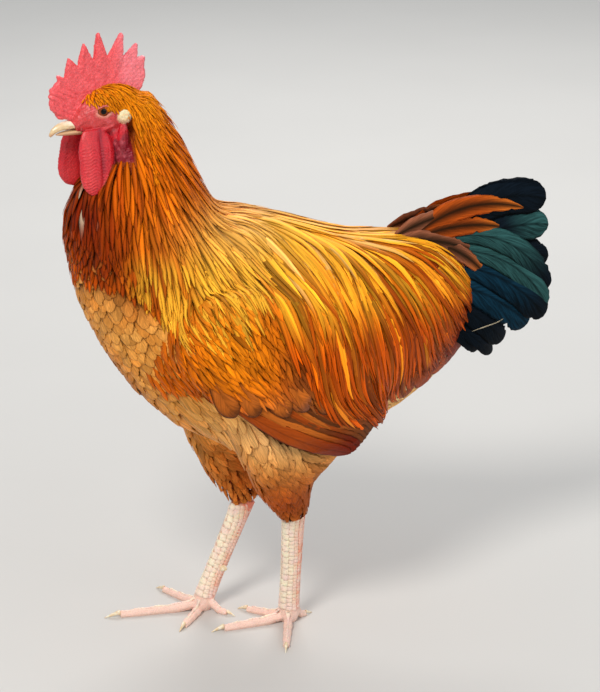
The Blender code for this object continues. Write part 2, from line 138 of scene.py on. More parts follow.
class Tone(Enum):
    """The named colours that plumage, skin and horn are mixed from."""

    GOLD = linear(244, 146, 14)
    BRIGHT_GOLD = linear(255, 188, 52)
    AMBER = linear(226, 110, 4)
    ORANGE_BROWN = linear(184, 74, 2)
    CHESTNUT = linear(156, 64, 12)
    MAHOGANY = linear(112, 22, 1)
    BUFF = linear(228, 160, 76)
    TAN = linear(206, 132, 52)
    RUSSET = linear(186, 96, 30)
    PALE_BUFF = linear(248, 208, 146)
    CREAM = linear(244, 226, 190)
    UMBER = linear(112, 56, 22)
    MAUVE_BROWN = linear(124, 72, 50)
    TEAL = linear(40, 76, 74)
    DEEP_BLUE = linear(8, 40, 56)
    BLUE_BLACK = linear(6, 12, 20)
    COMB_RED = linear(236, 74, 76)
    COMB_PINK = linear(246, 122, 130)
    WATTLE_RED = linear(200, 22, 38)
    FACE_RED = linear(206, 62, 62)
    LID_PINK = linear(236, 150, 128)
    LOBE_CREAM = linear(240, 222, 176)
    # painted shade for the bare red skin, under the cheek and in the near wattle's groove
    PAINTED_SHADE_RED = linear(128, 24, 44)
    SHANK_CREAM = linear(254, 238, 206)
    SHANK_PINK = linear(232, 112, 82)
    TOE_PINK = linear(250, 214, 200)
    HORN = linear(226, 196, 150)
    HORN_PALE = linear(246, 234, 208)

    @property
    def rgb(self) -> Array:
        """The linear colour as an array."""
        return np.array(self.value)

    def over(self, places: Array) -> Array:
        """Return the colour once for each place."""
        return np.broadcast_to(self.rgb, places.shape)


def mixed(base: Array, tone: Tone, share: Array) -> Array:
    """Blend rows of colour towards one tone by a share for each row."""
    return base + (tone.rgb - base) * np.clip(share, 0, 1)[..., None]


# ---- Places on the bird ----

def spot(node: str, along: float, out: float, up: float) -> Array:
    """Find a place on the left side from shares of a node's box.

    Args:
        node: the node whose box is used.
        along: 0 at the front face of the box, 1 at the rear.
        out: 0 on the midline, 1 at the box's widest.
        up: 0 at the bottom, 1 at the top.

    Returns:
        The place, with y at or below zero.
    """
    low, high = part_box(node)
    widest = max(abs(low.y), abs(high.y))
    return np.array([low.x + along * (high.x - low.x), -out * widest, low.z + up * (high.z - low.z)])


def centre(node: str) -> Array:
    """Return the middle of a node's box."""
    low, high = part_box(node)
    return np.array((low + high) / 2)


@dataclass(frozen=True)
class HeadFrame:
    """The head's own axes: x to the rear, y to the bird's right, z up, from between the eyes."""

    origin: Array
    turn: Array
    EYE_AHEAD = 1.0 * MM
    EYE_UP = 1.5 * MM

    @classmethod
    def find(cls) -> "HeadFrame":
        """Work the frame out from the two eyes.

        Returns:
            The frame of the head.
        """
        left, right = centre("eye_left"), centre("eye_right")
        across = unit(np.array([[right[0] - left[0], right[1] - left[1], 0]]))[0]
        rear = np.array([across[1], -across[0], 0])
        turn = np.stack([rear, across, [0, 0, 1]])
        middle = (left + right) / 2
        return cls(middle - np.array([-cls.EYE_AHEAD, 0, cls.EYE_UP]) @ turn, turn)

    def local(self, points: Array) -> Array:
        """Turn world places into head places, in millimetres."""
        return (points - self.origin) @ self.turn.T / MM

    def world(self, points: Array) -> Array:
        """Turn head places in millimetres into world places."""
        return np.asarray(points) * MM @ self.turn + self.origin


HEAD = HeadFrame.find()


# ---- Meshes ----

@dataclass
class Sheet:
    """Plain mesh data: points, faces of four or three corners, and values on the points."""

    points: Array
    quads: Array = field(default_factory=lambda: np.zeros((0, 4), int))
    triangles: Array = field(default_factory=lambda: np.zeros((0, 3), int))
    values: dict[str, Array] = field(default_factory=dict)
    patch: Array | None = None  # each point's place on the layout for the bake

    @classmethod
    def joined(cls, sheets: Sequence["Sheet"]) -> "Sheet":
        """Join several sheets that carry the same values.

        Args:
            sheets: the sheets, in order.

        Returns:
            The one sheet.
        """
        starts = np.cumsum([0] + [len(s.points) for s in sheets[:-1]])
        return cls(
            np.concatenate([s.points for s in sheets]),
            np.concatenate([s.quads + n for s, n in zip(sheets, starts)]),
            np.concatenate([s.triangles + n for s, n in zip(sheets, starts)]),
            {k: np.concatenate([s.values[k] for s in sheets]) for k in sheets[0].values},
            None if sheets[0].patch is None else np.concatenate([s.patch for s in sheets]))

    def rounded(self) -> Array:
        """Say which faces are shaded smooth: all but the undersides of vanes, whose edges stay
        crisp.

        Returns:
            One truth value for each face.
        """
        if "vane" not in self.values:
            return np.ones(len(self.quads) + len(self.triangles), bool)
        across = self.values["vane"][:, 0]
        return np.concatenate([np.ptp(across[faces], axis=1) for faces in (self.quads, self.triangles)]) < 1.9

    def make(self, name: str, material: Material, slot: str) -> Piece:
        """Make the object, give it its finish and let it ride on the body.

        Args:
            name: the piece's name.
            material: its finish.
            slot: the record's slot that the finish belongs to; not used.

        Returns:
            The new object.
        """
        corners = np.concatenate([self.quads.ravel(), self.triangles.ravel()]).astype(np.int32)
        sizes = np.repeat([4, 3], [len(self.quads), len(self.triangles)])
        mesh = bpy.data.meshes.new(name)
        mesh.vertices.add(len(self.points))
        mesh.vertices.foreach_set("co", self.points.astype(np.float32).ravel())
        mesh.loops.add(len(corners))
        mesh.loops.foreach_set("vertex_index", corners)
        mesh.polygons.add(len(sizes))
        mesh.polygons.foreach_set("loop_start", np.concatenate([[0], np.cumsum(sizes)[:-1]]).astype(np.int32))
        mesh.update(calc_edges=True)
        for key, rows in self.values.items():
            lay_values(mesh, key, rows)
        if self.patch is not None:
            layer = mesh.uv_layers.new(name="OFBake")
            layer.data.foreach_set("uv", self.patch[corners].astype(np.float32).ravel())
        mesh.polygons.foreach_set("use_smooth", self.rounded())
        mesh.materials.append(material)
        piece = linked(name, mesh)
        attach(piece, "root")
        LOG.info("%s: %d faces", name, len(mesh.polygons))
        return piece


def lay_values(mesh: bpy.types.Mesh, key: str, rows: Array) -> None:
    """Store one colour, vector or number for each point of a mesh.

    Args:
        mesh: the mesh that takes them.
        key: the attribute's name; "tint" is stored as a colour.
        rows: the values, one row for each point.
    """
    kind, store = ("FLOAT_VECTOR", "vector") if rows.ndim == 2 else ("FLOAT", "value")
    if key == "tint":
        kind, store, rows = "FLOAT_COLOR", "color", np.c_[rows, np.ones(len(rows))]
    layer = mesh.attributes.new(key, kind, "POINT")
    layer.data.foreach_set(store, rows.astype(np.float32).ravel())


def linked(name: str, data: bpy.types.ID) -> Piece:
    """Put data in the scene as an object.

    Args:
        name: the object's name.
        data: its mesh, light or camera.

    Returns:
        The new object.
    """
    holder = bpy.data.objects.new(name, data)
    bpy.context.scene.collection.objects.link(holder)
    return holder


def node_points(node: str) -> Array:
    """Return the corners of a node's solid."""
    return np.array([vertex.co[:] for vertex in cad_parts[node].data.vertices])


def as_sheet(mesh: bpy.types.Mesh) -> Sheet:
    """Read a mesh as points and triangles.

    Args:
        mesh: the mesh, which keeps its own faces.

    Returns:
        The sheet.
    """
    points = np.empty(len(mesh.vertices) * 3, np.float32)
    mesh.vertices.foreach_get("co", points)
    mesh.calc_loop_triangles()
    triangles = np.empty(len(mesh.loop_triangles) * 3, np.int32)
    mesh.loop_triangles.foreach_get("vertices", triangles)
    return Sheet(points.reshape(-1, 3).astype(float), triangles=triangles.reshape(-1, 3))


def node_sheet(node: str, grow: float = 0.0) -> Sheet:
    """Read a node's solid with its split corners welded, grown along its normals.

    Args:
        node: the node that is read.
        grow: how far the result stands outside the solid.

    Returns:
        Its points and triangles.
    """
    solid = bmesh.new()
    solid.from_mesh(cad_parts[node].data)
    bmesh.ops.remove_doubles(solid, verts=solid.verts, dist=1e-6)
    bmesh.ops.recalc_face_normals(solid, faces=solid.faces)
    solid.normal_update()
    for vertex, normal in [(v, v.normal.copy()) for v in solid.verts]:
        vertex.co += normal * grow
    mesh = bpy.data.meshes.new("copy")
    solid.to_mesh(mesh)
    solid.free()
    sheet = as_sheet(mesh)
    bpy.data.meshes.remove(mesh)
    return sheet


def ring_faces(rings: int, sides: int, closed: bool = False) -> tuple[Array, Array]:
    """Number the faces of a stack of rings, whose two end points follow the last ring.

    Args:
        rings: how many rings there are.
        sides: how many points a ring has.
        closed: whether the last ring meets the first, and there are no end points.

    Returns:
        The quads between the rings and the triangles round the end points.
    """
    row, col = np.meshgrid(np.arange(rings if closed else rings - 1), np.arange(sides), indexing="ij")
    near, far, beside = row * sides, (row + 1) % rings * sides, (col + 1) % sides
    quads = np.stack([near + col, near + beside, far + beside, far + col], -1).reshape(-1, 4)
    ring, last = np.arange(sides), (rings - 1) * sides
    after = np.roll(ring, -1)
    start = np.stack([np.full(sides, rings * sides), after, ring], -1)
    end = np.stack([np.full(sides, rings * sides + 1), last + ring, last + after], -1)
    return quads, np.concatenate([start, end])


def tube(path: Array, radii: Array, sides: int = 12, closed: bool = False) -> Sheet:
    """Sweep a round section along a path.

    Args:
        path: the middle line, one place per row.
        radii: the radius at each place.
        sides: corners of the section.
        closed: whether the path returns to its start.

    Returns:
        The closed tube.
    """
    ahead = np.roll(path, -1, axis=0) - np.roll(path, 1, axis=0)
    if not closed:
        ahead[0], ahead[-1] = path[1] - path[0], path[-1] - path[-2]
    ahead = unit(ahead)
    first = unit(np.cross(ahead, SPARE_AXIS))
    second = np.cross(ahead, first)
    angles = np.linspace(0, 2 * np.pi, sides, endpoint=False)
    rings = first[:, None] * np.cos(angles)[:, None] + second[:, None] * np.sin(angles)[:, None]
    points = (path[:, None] + rings * np.asarray(radii)[:, None, None]).reshape(-1, 3)
    quads, caps = ring_faces(len(path), sides, closed)
    if closed:
        return Sheet(points, quads)
    return Sheet(np.concatenate([points, path[:1], path[-1:]]), quads, caps)


def limb(start: Array, end: Array, radii: tuple[float, float], rings: int) -> Sheet:
    """Run a straight tube between two places, its radius in millimetres from one value to another."""
    line = start + (end - start) * np.linspace(0, 1, rings)[:, None]
    return tube(line, np.linspace(*radii, rings) * MM)


def held(name: str, sheet: Sheet) -> Piece:
    """Put a sheet's shape in an object for a modifier to work on.

    Args:
        name: the object's name for the while.
        sheet: the shape.

    Returns:
        The object.
    """
    mesh = bpy.data.meshes.new(name)
    mesh.from_pydata(sheet.points.tolist(), [], sheet.quads.tolist() + sheet.triangles.tolist())
    return linked(name, mesh)


def released(holders: Sequence[Piece]) -> Sheet:
    """Read what the modifiers made of the first object, and remove them all.

    Args:
        holders: the objects that were put up for the while.

    Returns:
        The first one's final shape.
    """
    graph = bpy.context.evaluated_depsgraph_get()
    result = as_sheet(holders[0].evaluated_get(graph).data)
    for mesh in [holder.data for holder in holders]:
        bpy.data.meshes.remove(mesh)
    return result


def blended(sheets: Sequence[Sheet], voxel: float, smoothing: int) -> Sheet:
    """Melt closed sheets into one even skin.

    Args:
        sheets: the closed shapes.
        voxel: the size of the new skin's facets.
        smoothing: rounds of smoothing afterwards.

    Returns:
        The one closed skin, in triangles.
    """
    holder = held("blend", Sheet.joined([Sheet(s.points, s.quads, s.triangles) for s in sheets]))
    remesh = holder.modifiers.new("even", "REMESH")
    remesh.mode = "VOXEL"
    remesh.voxel_size = voxel
    remesh.adaptivity = 0
    smooth = holder.modifiers.new("soft", "SMOOTH")
    smooth.factor = 0.5
    smooth.iterations = smoothing
    return released([holder])


def point_normals(sheet: Sheet) -> Array:
    """Work out a normal for each point, weighted by the area of the faces around it.

    Args:
        sheet: a skin in triangles.

    Returns:
        One unit vector for each point.
    """
    a, b, c = (sheet.points[sheet.triangles[:, k]] for k in range(3))
    faces = np.cross(b - a, c - a)
    normals = np.zeros_like(sheet.points)
    for k in range(3):
        for axis in range(3):
            normals[:, axis] += np.bincount(sheet.triangles[:, k], faces[:, axis], len(sheet.points))
    return unit(normals)


def spread(sheet: Sheet, rows: Array, rounds: int) -> Array:
    """Soften a value over a skin by averaging it with its neighbours.

    Args:
        sheet: the skin.
        rows: one number for each point.
        rounds: how often the average is taken.

    Returns:
        The softened numbers.
    """
    edges = np.concatenate([sheet.triangles[:, pair] for pair in ([0, 1], [1, 2], [2, 0])])
    count = np.bincount(edges.ravel(), minlength=len(rows))
    for _ in range(rounds):
        total = np.bincount(edges[:, 0], rows[edges[:, 1]], len(rows))
        total += np.bincount(edges[:, 1], rows[edges[:, 0]], len(rows))
        rows = 0.5 * rows + 0.5 * total / np.maximum(count, 1)
    return rows


class Surface:
    """A skin that can be searched for its nearest place and knows which node each place came from."""

    def __init__(self, sheet: Sheet, owners: Sequence[str]) -> None:
        """Prepare the search.

        Args:
            sheet: the skin in triangles.
            owners: the nodes whose names label its faces, by which of them lies nearest.
        """
        self.sheet = sheet
        self.tree = BVHTree.FromPolygons(sheet.points.tolist(), sheet.triangles.tolist())
        self.owners = list(owners)
        corners = sheet.points[sheet.triangles]
        self.middles = corners.mean(axis=1)
        self.face_normals = unit(point_normals(sheet)[sheet.triangles].mean(axis=1))
        edges = corners[:, 1:] - corners[:, :1]
        self.areas = np.linalg.norm(np.cross(edges[:, 0], edges[:, 1]), axis=1) / 2
        self.labels = nearest_owner(self.middles, self.owners) if self.owners else None

    def nearest(self, places: Array) -> tuple[Array, Array, Array]:
        """Find the nearest place on the skin for each given place.

        Args:
            places: one per row.

        Returns:
            The places found, their smooth normals and their faces.
        """
        found = [self.tree.find_nearest(place) for place in places.tolist()]
        faces = np.array([index for _, _, index, _ in found])
        return np.array([spot[:] for spot, *_ in found]), self.face_normals[faces], faces

    def owned(self, labels: Array, names: Sequence[str]) -> Array:
        """Say which labels stand for the named nodes."""
        return np.isin(labels, [self.owners.index(name) for name in names])


def nearest_owner(places: Array, owners: Sequence[str]) -> Array:
    """Say which node's solid lies nearest to each place.

    Args:
        places: one per row.
        owners: the nodes to choose from.

    Returns:
        The index of the nearest owner for each place.
    """
    sheets = [node_sheet(name) for name in owners]
    first_face = np.cumsum([len(s.triangles) for s in sheets])
    whole = Sheet.joined(sheets)
    tree = BVHTree.FromPolygons(whole.points.tolist(), whole.triangles.tolist())
    faces = np.array([tree.find_nearest(place)[2] for place in places.tolist()])
    return np.searchsorted(first_face, faces, side="right")


# ---- Finishes ----

class Graph:
    """The nodes of one material, with its Principled shader at the end."""

    def __init__(self, name: str) -> None:
        """Start an empty material.

        Args:
            name: the material's name.
        """
        self.material = bpy.data.materials.new(name)
        self.material.use_nodes = True
        self.tree = self.material.node_tree
        self.shader = self.tree.nodes["Principled BSDF"]

    def node(self, kind: str, settings: dict[str, Any], sockets: dict[Any, Any], output: Any = 0) -> "Value":
        """Add one node.

        Args:
            kind: the node's type.
            settings: properties, set before the sockets.
            sockets: numbers, colours or values for the inputs, by name or index.
            output: which output to return.

        Returns:
            The output as a value.
        """
        made = self.tree.nodes.new(kind)
        for key, setting in settings.items():
            setattr(made, key, setting)
        for key, given in sockets.items():
            self.feed(made.inputs[key], given)
        return Value(self, made.outputs[output])

    def feed(self, socket: bpy.types.NodeSocket, given: Any) -> None:
        """Link a value to a socket, or set the socket's own number or colour.

        Args:
            socket: the input that is fed.
            given: a value to link, or a number, a colour or a vector.
        """
        if isinstance(given, Value):
            self.tree.links.new(given.socket, socket)
        elif isinstance(given, tuple) and len(given) == 3 and socket.type == "RGBA":
            socket.default_value = (*given, 1)
        else:
            socket.default_value = given

    def place(self) -> "Value":
        """Return the place on the bird, in metres."""
        return self.node("ShaderNodeTexCoord", {}, {}, "Object")

    def attribute(self, name: str, output: str) -> "Value":
        """Read a value that the mesh carries."""
        return self.node("ShaderNodeAttribute", {"attribute_name": name}, {}, output)

    def noise(self, place: "Value", scale: float, detail: float = 2.0, roughness: float = 0.5) -> "Value":
        """Return soft noise of 0 to 1 at a place."""
        sockets = {"Vector": place, "Scale": scale, "Detail": detail, "Roughness": roughness}
        return self.node("ShaderNodeTexNoise", {}, sockets, "Fac")

    def blend(self, base: Any, over: Any, share: Any) -> "Value":
        """Mix two colours by a share."""
        return self.node("ShaderNodeMix", {"data_type": "RGBA"}, {0: share, 6: base, 7: over}, 2)

    def brighten(self, colour: "Value", gain: "Value") -> "Value":
        """Multiply a colour by one number."""
        return self.node("ShaderNodeVectorMath", {"operation": "SCALE"}, {0: colour, 3: gain})

    def bump(self, height: "Value", depth: float) -> None:
        """Raise the surface by a height of 0 to 1 over a depth in metres."""
        raised = self.node("ShaderNodeBump", {}, {"Height": height, "Distance": depth, "Strength": 1.0})
        self.feed(self.shader.inputs["Normal"], raised)

    def finish(self, sockets: dict[str, Any]) -> Material:
        """Set the shader's sockets and return the material.

        Args:
            sockets: numbers, colours or values, by the name of the socket.

        Returns:
            The finished material.
        """
        for key, given in sockets.items():
            self.feed(self.shader.inputs[key], given)
        return self.material


class Value:
    """A shader socket that can be used in arithmetic."""

    def __init__(self, graph: Graph, socket: bpy.types.NodeSocket) -> None:
        """Wrap one output socket of a graph."""
        self.graph = graph
        self.socket = socket

    def math(self, operation: str, *given: Any) -> "Value":
        """Add a Math node on the given inputs."""
        return self.graph.node("ShaderNodeMath", {"operation": operation}, dict(enumerate(given)))

    def __add__(self, other: Any) -> "Value":
        """Return self + other."""
        return self.math("ADD", self, other)

    def __radd__(self, other: Any) -> "Value":
        """Return other + self."""
        return self.math("ADD", other, self)

    def __sub__(self, other: Any) -> "Value":
        """Return self - other."""
        return self.math("SUBTRACT", self, other)

    def __rsub__(self, other: Any) -> "Value":
        """Return other - self."""
        return self.math("SUBTRACT", other, self)

    def __mul__(self, other: Any) -> "Value":
        """Return self * other."""
        return self.math("MULTIPLY", self, other)

    def __rmul__(self, other: Any) -> "Value":
        """Return other * self."""
        return self.math("MULTIPLY", other, self)

    def __abs__(self) -> "Value":
        """Return the size of self."""
        return self.math("ABSOLUTE", self)

    def eased(self, low: float, high: float) -> "Value":
        """Ease self from 0 at low to 1 at high.

        Args:
            low: value where the result leaves 0.
            high: value where the result reaches 1.

        Returns:
            The eased value.
        """
        settings = {"interpolation_type": "SMOOTHSTEP"}
        sockets = {"Value": self, "From Min": low, "From Max": high}
        return self.graph.node("ShaderNodeMapRange", settings, sockets)


@dataclass(frozen=True)
class PlumageFinish:
    """The finish of one tract: fine barbs, a shaft, a rim and a painted sheen on one half of the vane, over
    the feather's own tint.
    """

    name: str
    barbs: float = 0.4          # contrast of the barbs
    fineness: float = 4.0       # lines across half a vane
    length_scale: float = 1.0   # how quickly a line changes along the vane
    slant: float = 0.1          # how far a barb runs on towards the tip, from shaft to edge
    rim: float = 1.0            # brightness at the edge
    rim_from: float = 0.6
    shaft: float = 1.0          # brightness on the shaft
    heart: float = 1.0          # brightness of the middle of the vane
    roughness: float = 0.5
    shine: float = 0.2
    metal: float = 0.0
    warmth: Colour = (1.0, 0.62, 0.30)
    # painted sheen: one half of the vane is painted brighter than the other
    painted_sheen: float = 0.0           # how much brighter one half of the vane is
    depth: float = 0.2 * MM

    def make(self) -> Material:
        """Build the material.

        Returns:
            The material.
        """
        graph = Graph(self.name)
        vane = graph.attribute("vane", "Vector")
        split = {key: graph.node("ShaderNodeSeparateXYZ", {}, {0: vane}, key) for key in "XYZ"}
        across, along, seed = split["X"], split["Y"], split["Z"]
        down = (along - abs(across) * self.slant) * self.length_scale
        place = graph.node("ShaderNodeCombineXYZ", {}, {0: across * self.fineness, 1: down, 2: seed * 90.0})
        barb = graph.noise(place, 1.6, detail=3.0, roughness=0.6).eased(0.28, 0.72)
        # the last term is a painted sheen that brightens one half of the vane
        shade = 1 + (barb - 0.5) * (2 * self.barbs) + across * self.painted_sheen
        shade = shade * (1 + abs(across).eased(self.rim_from, 1.0) * (self.rim - 1))
        shade = shade * (1 + (1 - abs(across).eased(0.0, 0.75)) * (self.heart - 1))
        shade = shade * (1 + (1 - abs(across).eased(0.02, 0.14)) * (self.shaft - 1))
        tint = graph.brighten(graph.attribute("tint", "Color"), shade)
        graph.bump(barb, self.depth)
        return graph.finish({
            "Base Color": tint, "Roughness": self.roughness, "Metallic": self.metal,
            "Specular IOR Level": self.shine, "Specular Tint": (*self.warmth, 1.0)})


@dataclass(frozen=True)
class FleshFinish:
    """Bare red skin: fine grain over its own tint, with light that goes in a little way."""

    name: str
    grain: float = 0.00045      # size of one bump, in metres
    depth: float = 0.12 * MM
    mottle: float = 0.35
    roughness: float = 0.42
    glow: float = 0.25
    gloss: float = 0.12

    def make(self) -> Material:
        """Build the material.

        Returns:
            The material.
        """
        graph = Graph(self.name)
        place = graph.place()
        blotch = graph.noise(place, 1 / (18 * self.grain), detail=4.0, roughness=0.6)
        grain = graph.noise(place, 1 / (2.5 * self.grain), detail=3.0, roughness=0.6)
        shade = 1 + (blotch - 0.5) * self.mottle + (grain.eased(0.3, 0.7) - 0.5) * self.mottle
        tint = graph.brighten(graph.attribute("tint", "Color"), shade)
        graph.bump(grain, self.depth)
        return graph.finish({
            "Base Color": tint, "Roughness": self.roughness, "Coat Weight": self.gloss,
            "Subsurface Weight": self.glow, "Subsurface Radius": (0.004, 0.0012, 0.0008),
            "Subsurface Scale": 0.6, "Coat Roughness": 0.3})


@dataclass(frozen=True)
class HornFinish:
    """Beak, claw or spur: growth lines along the horn, over its own tint."""

    name: str
    roughness: float = 0.3

    def make(self) -> Material:
        """Build the material.

        Returns:
            The material.
        """
        graph = Graph(self.name)
        place = graph.place()
        cloud = graph.noise(place, 260.0, detail=4.0, roughness=0.6)
        fibre = graph.noise(place, 900.0, detail=2.0)
        shade = 1 + (cloud - 0.5) * 0.5 + (fibre - 0.5) * 0.16
        tint = graph.brighten(graph.attribute("tint", "Color"), shade)
        graph.bump(fibre, 0.05 * MM)
        return graph.finish({
            "Base Color": tint, "Roughness": self.roughness, "Coat Weight": 0.35,
            "Coat Roughness": 0.2, "Subsurface Weight": 0.15, "Subsurface Scale": 0.4,
            "Subsurface Radius": (0.003, 0.002, 0.001)})


@dataclass(frozen=True)
class EyeFinish:
    """The eyeball: a dark pupil in an orange-brown iris, ringed by painted shade where the lids fall over the
    ball, under a clear wet coat.
    """

    name: str
    pupil: float = 0.34         # angle from the gaze, in radians
    iris: float = 0.62

    def make(self) -> Material:
        """Build the material.

        Returns:
            The material.
        """
        graph = Graph(self.name)
        ring = graph.attribute("ring", "Fac")
        place = graph.place()
        fleck = graph.noise(place, 1500.0, detail=3.0)
        iris = graph.blend(linear(96, 38, 14), linear(190, 96, 40), (fleck * ring * 2.2).eased(0.2, 1.2))
        # painted shade: the ball turns dark beyond the iris, where the lids shade it
        outer = graph.blend(iris, linear(40, 18, 14), ring.eased(self.iris, self.iris + 0.12))
        whole = graph.blend(linear(6, 4, 4), outer, ring.eased(self.pupil, self.pupil + 0.05))
        return graph.finish({
            "Base Color": whole, "Roughness": 0.1, "Specular IOR Level": 0.15, "Coat Weight": 0.10,
            "Coat Roughness": 0.02})


@dataclass(frozen=True)
class FloorFinish:
    """A plain pale floor."""

    name: str
    colour: Colour = (0.62, 0.60, 0.57)

    def make(self) -> Material:
        """Build the material.

        Returns:
            The material.
        """
        graph = Graph(self.name)
        place = graph.place()
        cloud = graph.noise(place, 3.0)
        tint = graph.blend(self.colour, tuple(0.94 * c for c in self.colour), cloud)
        return graph.finish({"Base Color": tint, "Roughness": 0.9})


# ---- Markings and lie ----

@dataclass(frozen=True)
class Mark:
    """A soft patch of one tone, about a place on the left side and mirrored on the right."""

    place: Array
    reach: Colour               # half sizes along x, y and z
    tone: Tone
    strength: float


@dataclass(frozen=True)
class Guide:
    """How the coat lies at one place: towards the rear, outwards and upwards."""

    place: Array
    lie: Colour


class Markings:
    """The pattern that skin and coat share, with painted shade on the front of the neck and the lower breast
    and a painted highlight on the upper back.
    """

    def __init__(self) -> None:
        """Set the patches, each at shares of a node's box, with its reach, its tone and its strength."""
        rows = [
            # painted shade: the first two patches darken the front of the neck below the head
            ("neck", 0.10, 0.30, 0.38, (0.030, 0.060, 0.050), Tone.MAHOGANY, 1.0),
            ("neck", 0.22, 0.60, 0.18, (0.030, 0.050, 0.034), Tone.MAHOGANY, 0.75),
            ("neck", 0.42, 0.80, 0.02, (0.030, 0.050, 0.030), Tone.CHESTNUT, 0.6),
            ("neck", 0.92, 0.50, 0.10, (0.034, 0.080, 0.040), Tone.BRIGHT_GOLD, 0.8),
            ("neck", 0.70, 0.50, 0.75, (0.030, 0.050, 0.050), Tone.AMBER, 0.6),
            ("neck", 0.52, 0.20, 0.98, (0.045, 0.060, 0.040), Tone.GOLD, 0.6),
            # painted highlight: a pale patch on the top of the back
            ("trunk", 0.45, 0.20, 0.93, (0.060, 0.060, 0.030), Tone.PALE_BUFF, 0.55),
            ("trunk", 0.52, 0.40, 0.90, (0.090, 0.060, 0.040), Tone.BRIGHT_GOLD, 0.8),
            ("trunk", 0.98, 0.30, 0.45, (0.040, 0.060, 0.040), Tone.MAHOGANY, 0.5),
            ("trunk", 0.73, 0.56, 0.20, (0.018, 0.030, 0.016), Tone.PALE_BUFF, 0.8),
            ("wing_left", 0.25, 0.90, 0.62, (0.045, 0.050, 0.040), Tone.GOLD, 0.5),
            ("thigh_left", 0.45, 0.80, 0.15, (0.090, 0.090, 0.055), Tone.ORANGE_BROWN, 1.0),
            ("thigh_left", 0.70, 0.80, 0.15, (0.050, 0.090, 0.050), Tone.UMBER, 0.5),
            ("thigh_left", 0.45, 0.80, 0.80, (0.060, 0.060, 0.030), Tone.PALE_BUFF, 0.6),
            # painted shade: chestnut at the lower front of the breast, on the midline
            ("trunk", 0.13, 0.00, 0.32, (0.060, 0.030, 0.080), Tone.CHESTNUT, 0.6),
        ]
        self.marks = [Mark(spot(node, *place), reach, tone, share)
                      for node, *place, reach, tone, share in rows]

    def tint(self, points: Array, ground: Array) -> Array:
        """Colour places by the patches.

        Args:
            points: places, of any leading shape.
            ground: the ground colour, one for all places or one for each.

        Returns:
            One linear colour for each place.
        """
        colours = np.broadcast_to(ground, points.shape).copy()
        folded = points * [1, -1, 1]
        folded[..., 1] = -np.abs(points[..., 1])
        for mark in self.marks:
            gap = (folded - mark.place) / np.array(mark.reach)
            colours = mixed(colours, mark.tone, mark.strength * np.exp(-dot(gap, gap)))
        return colours


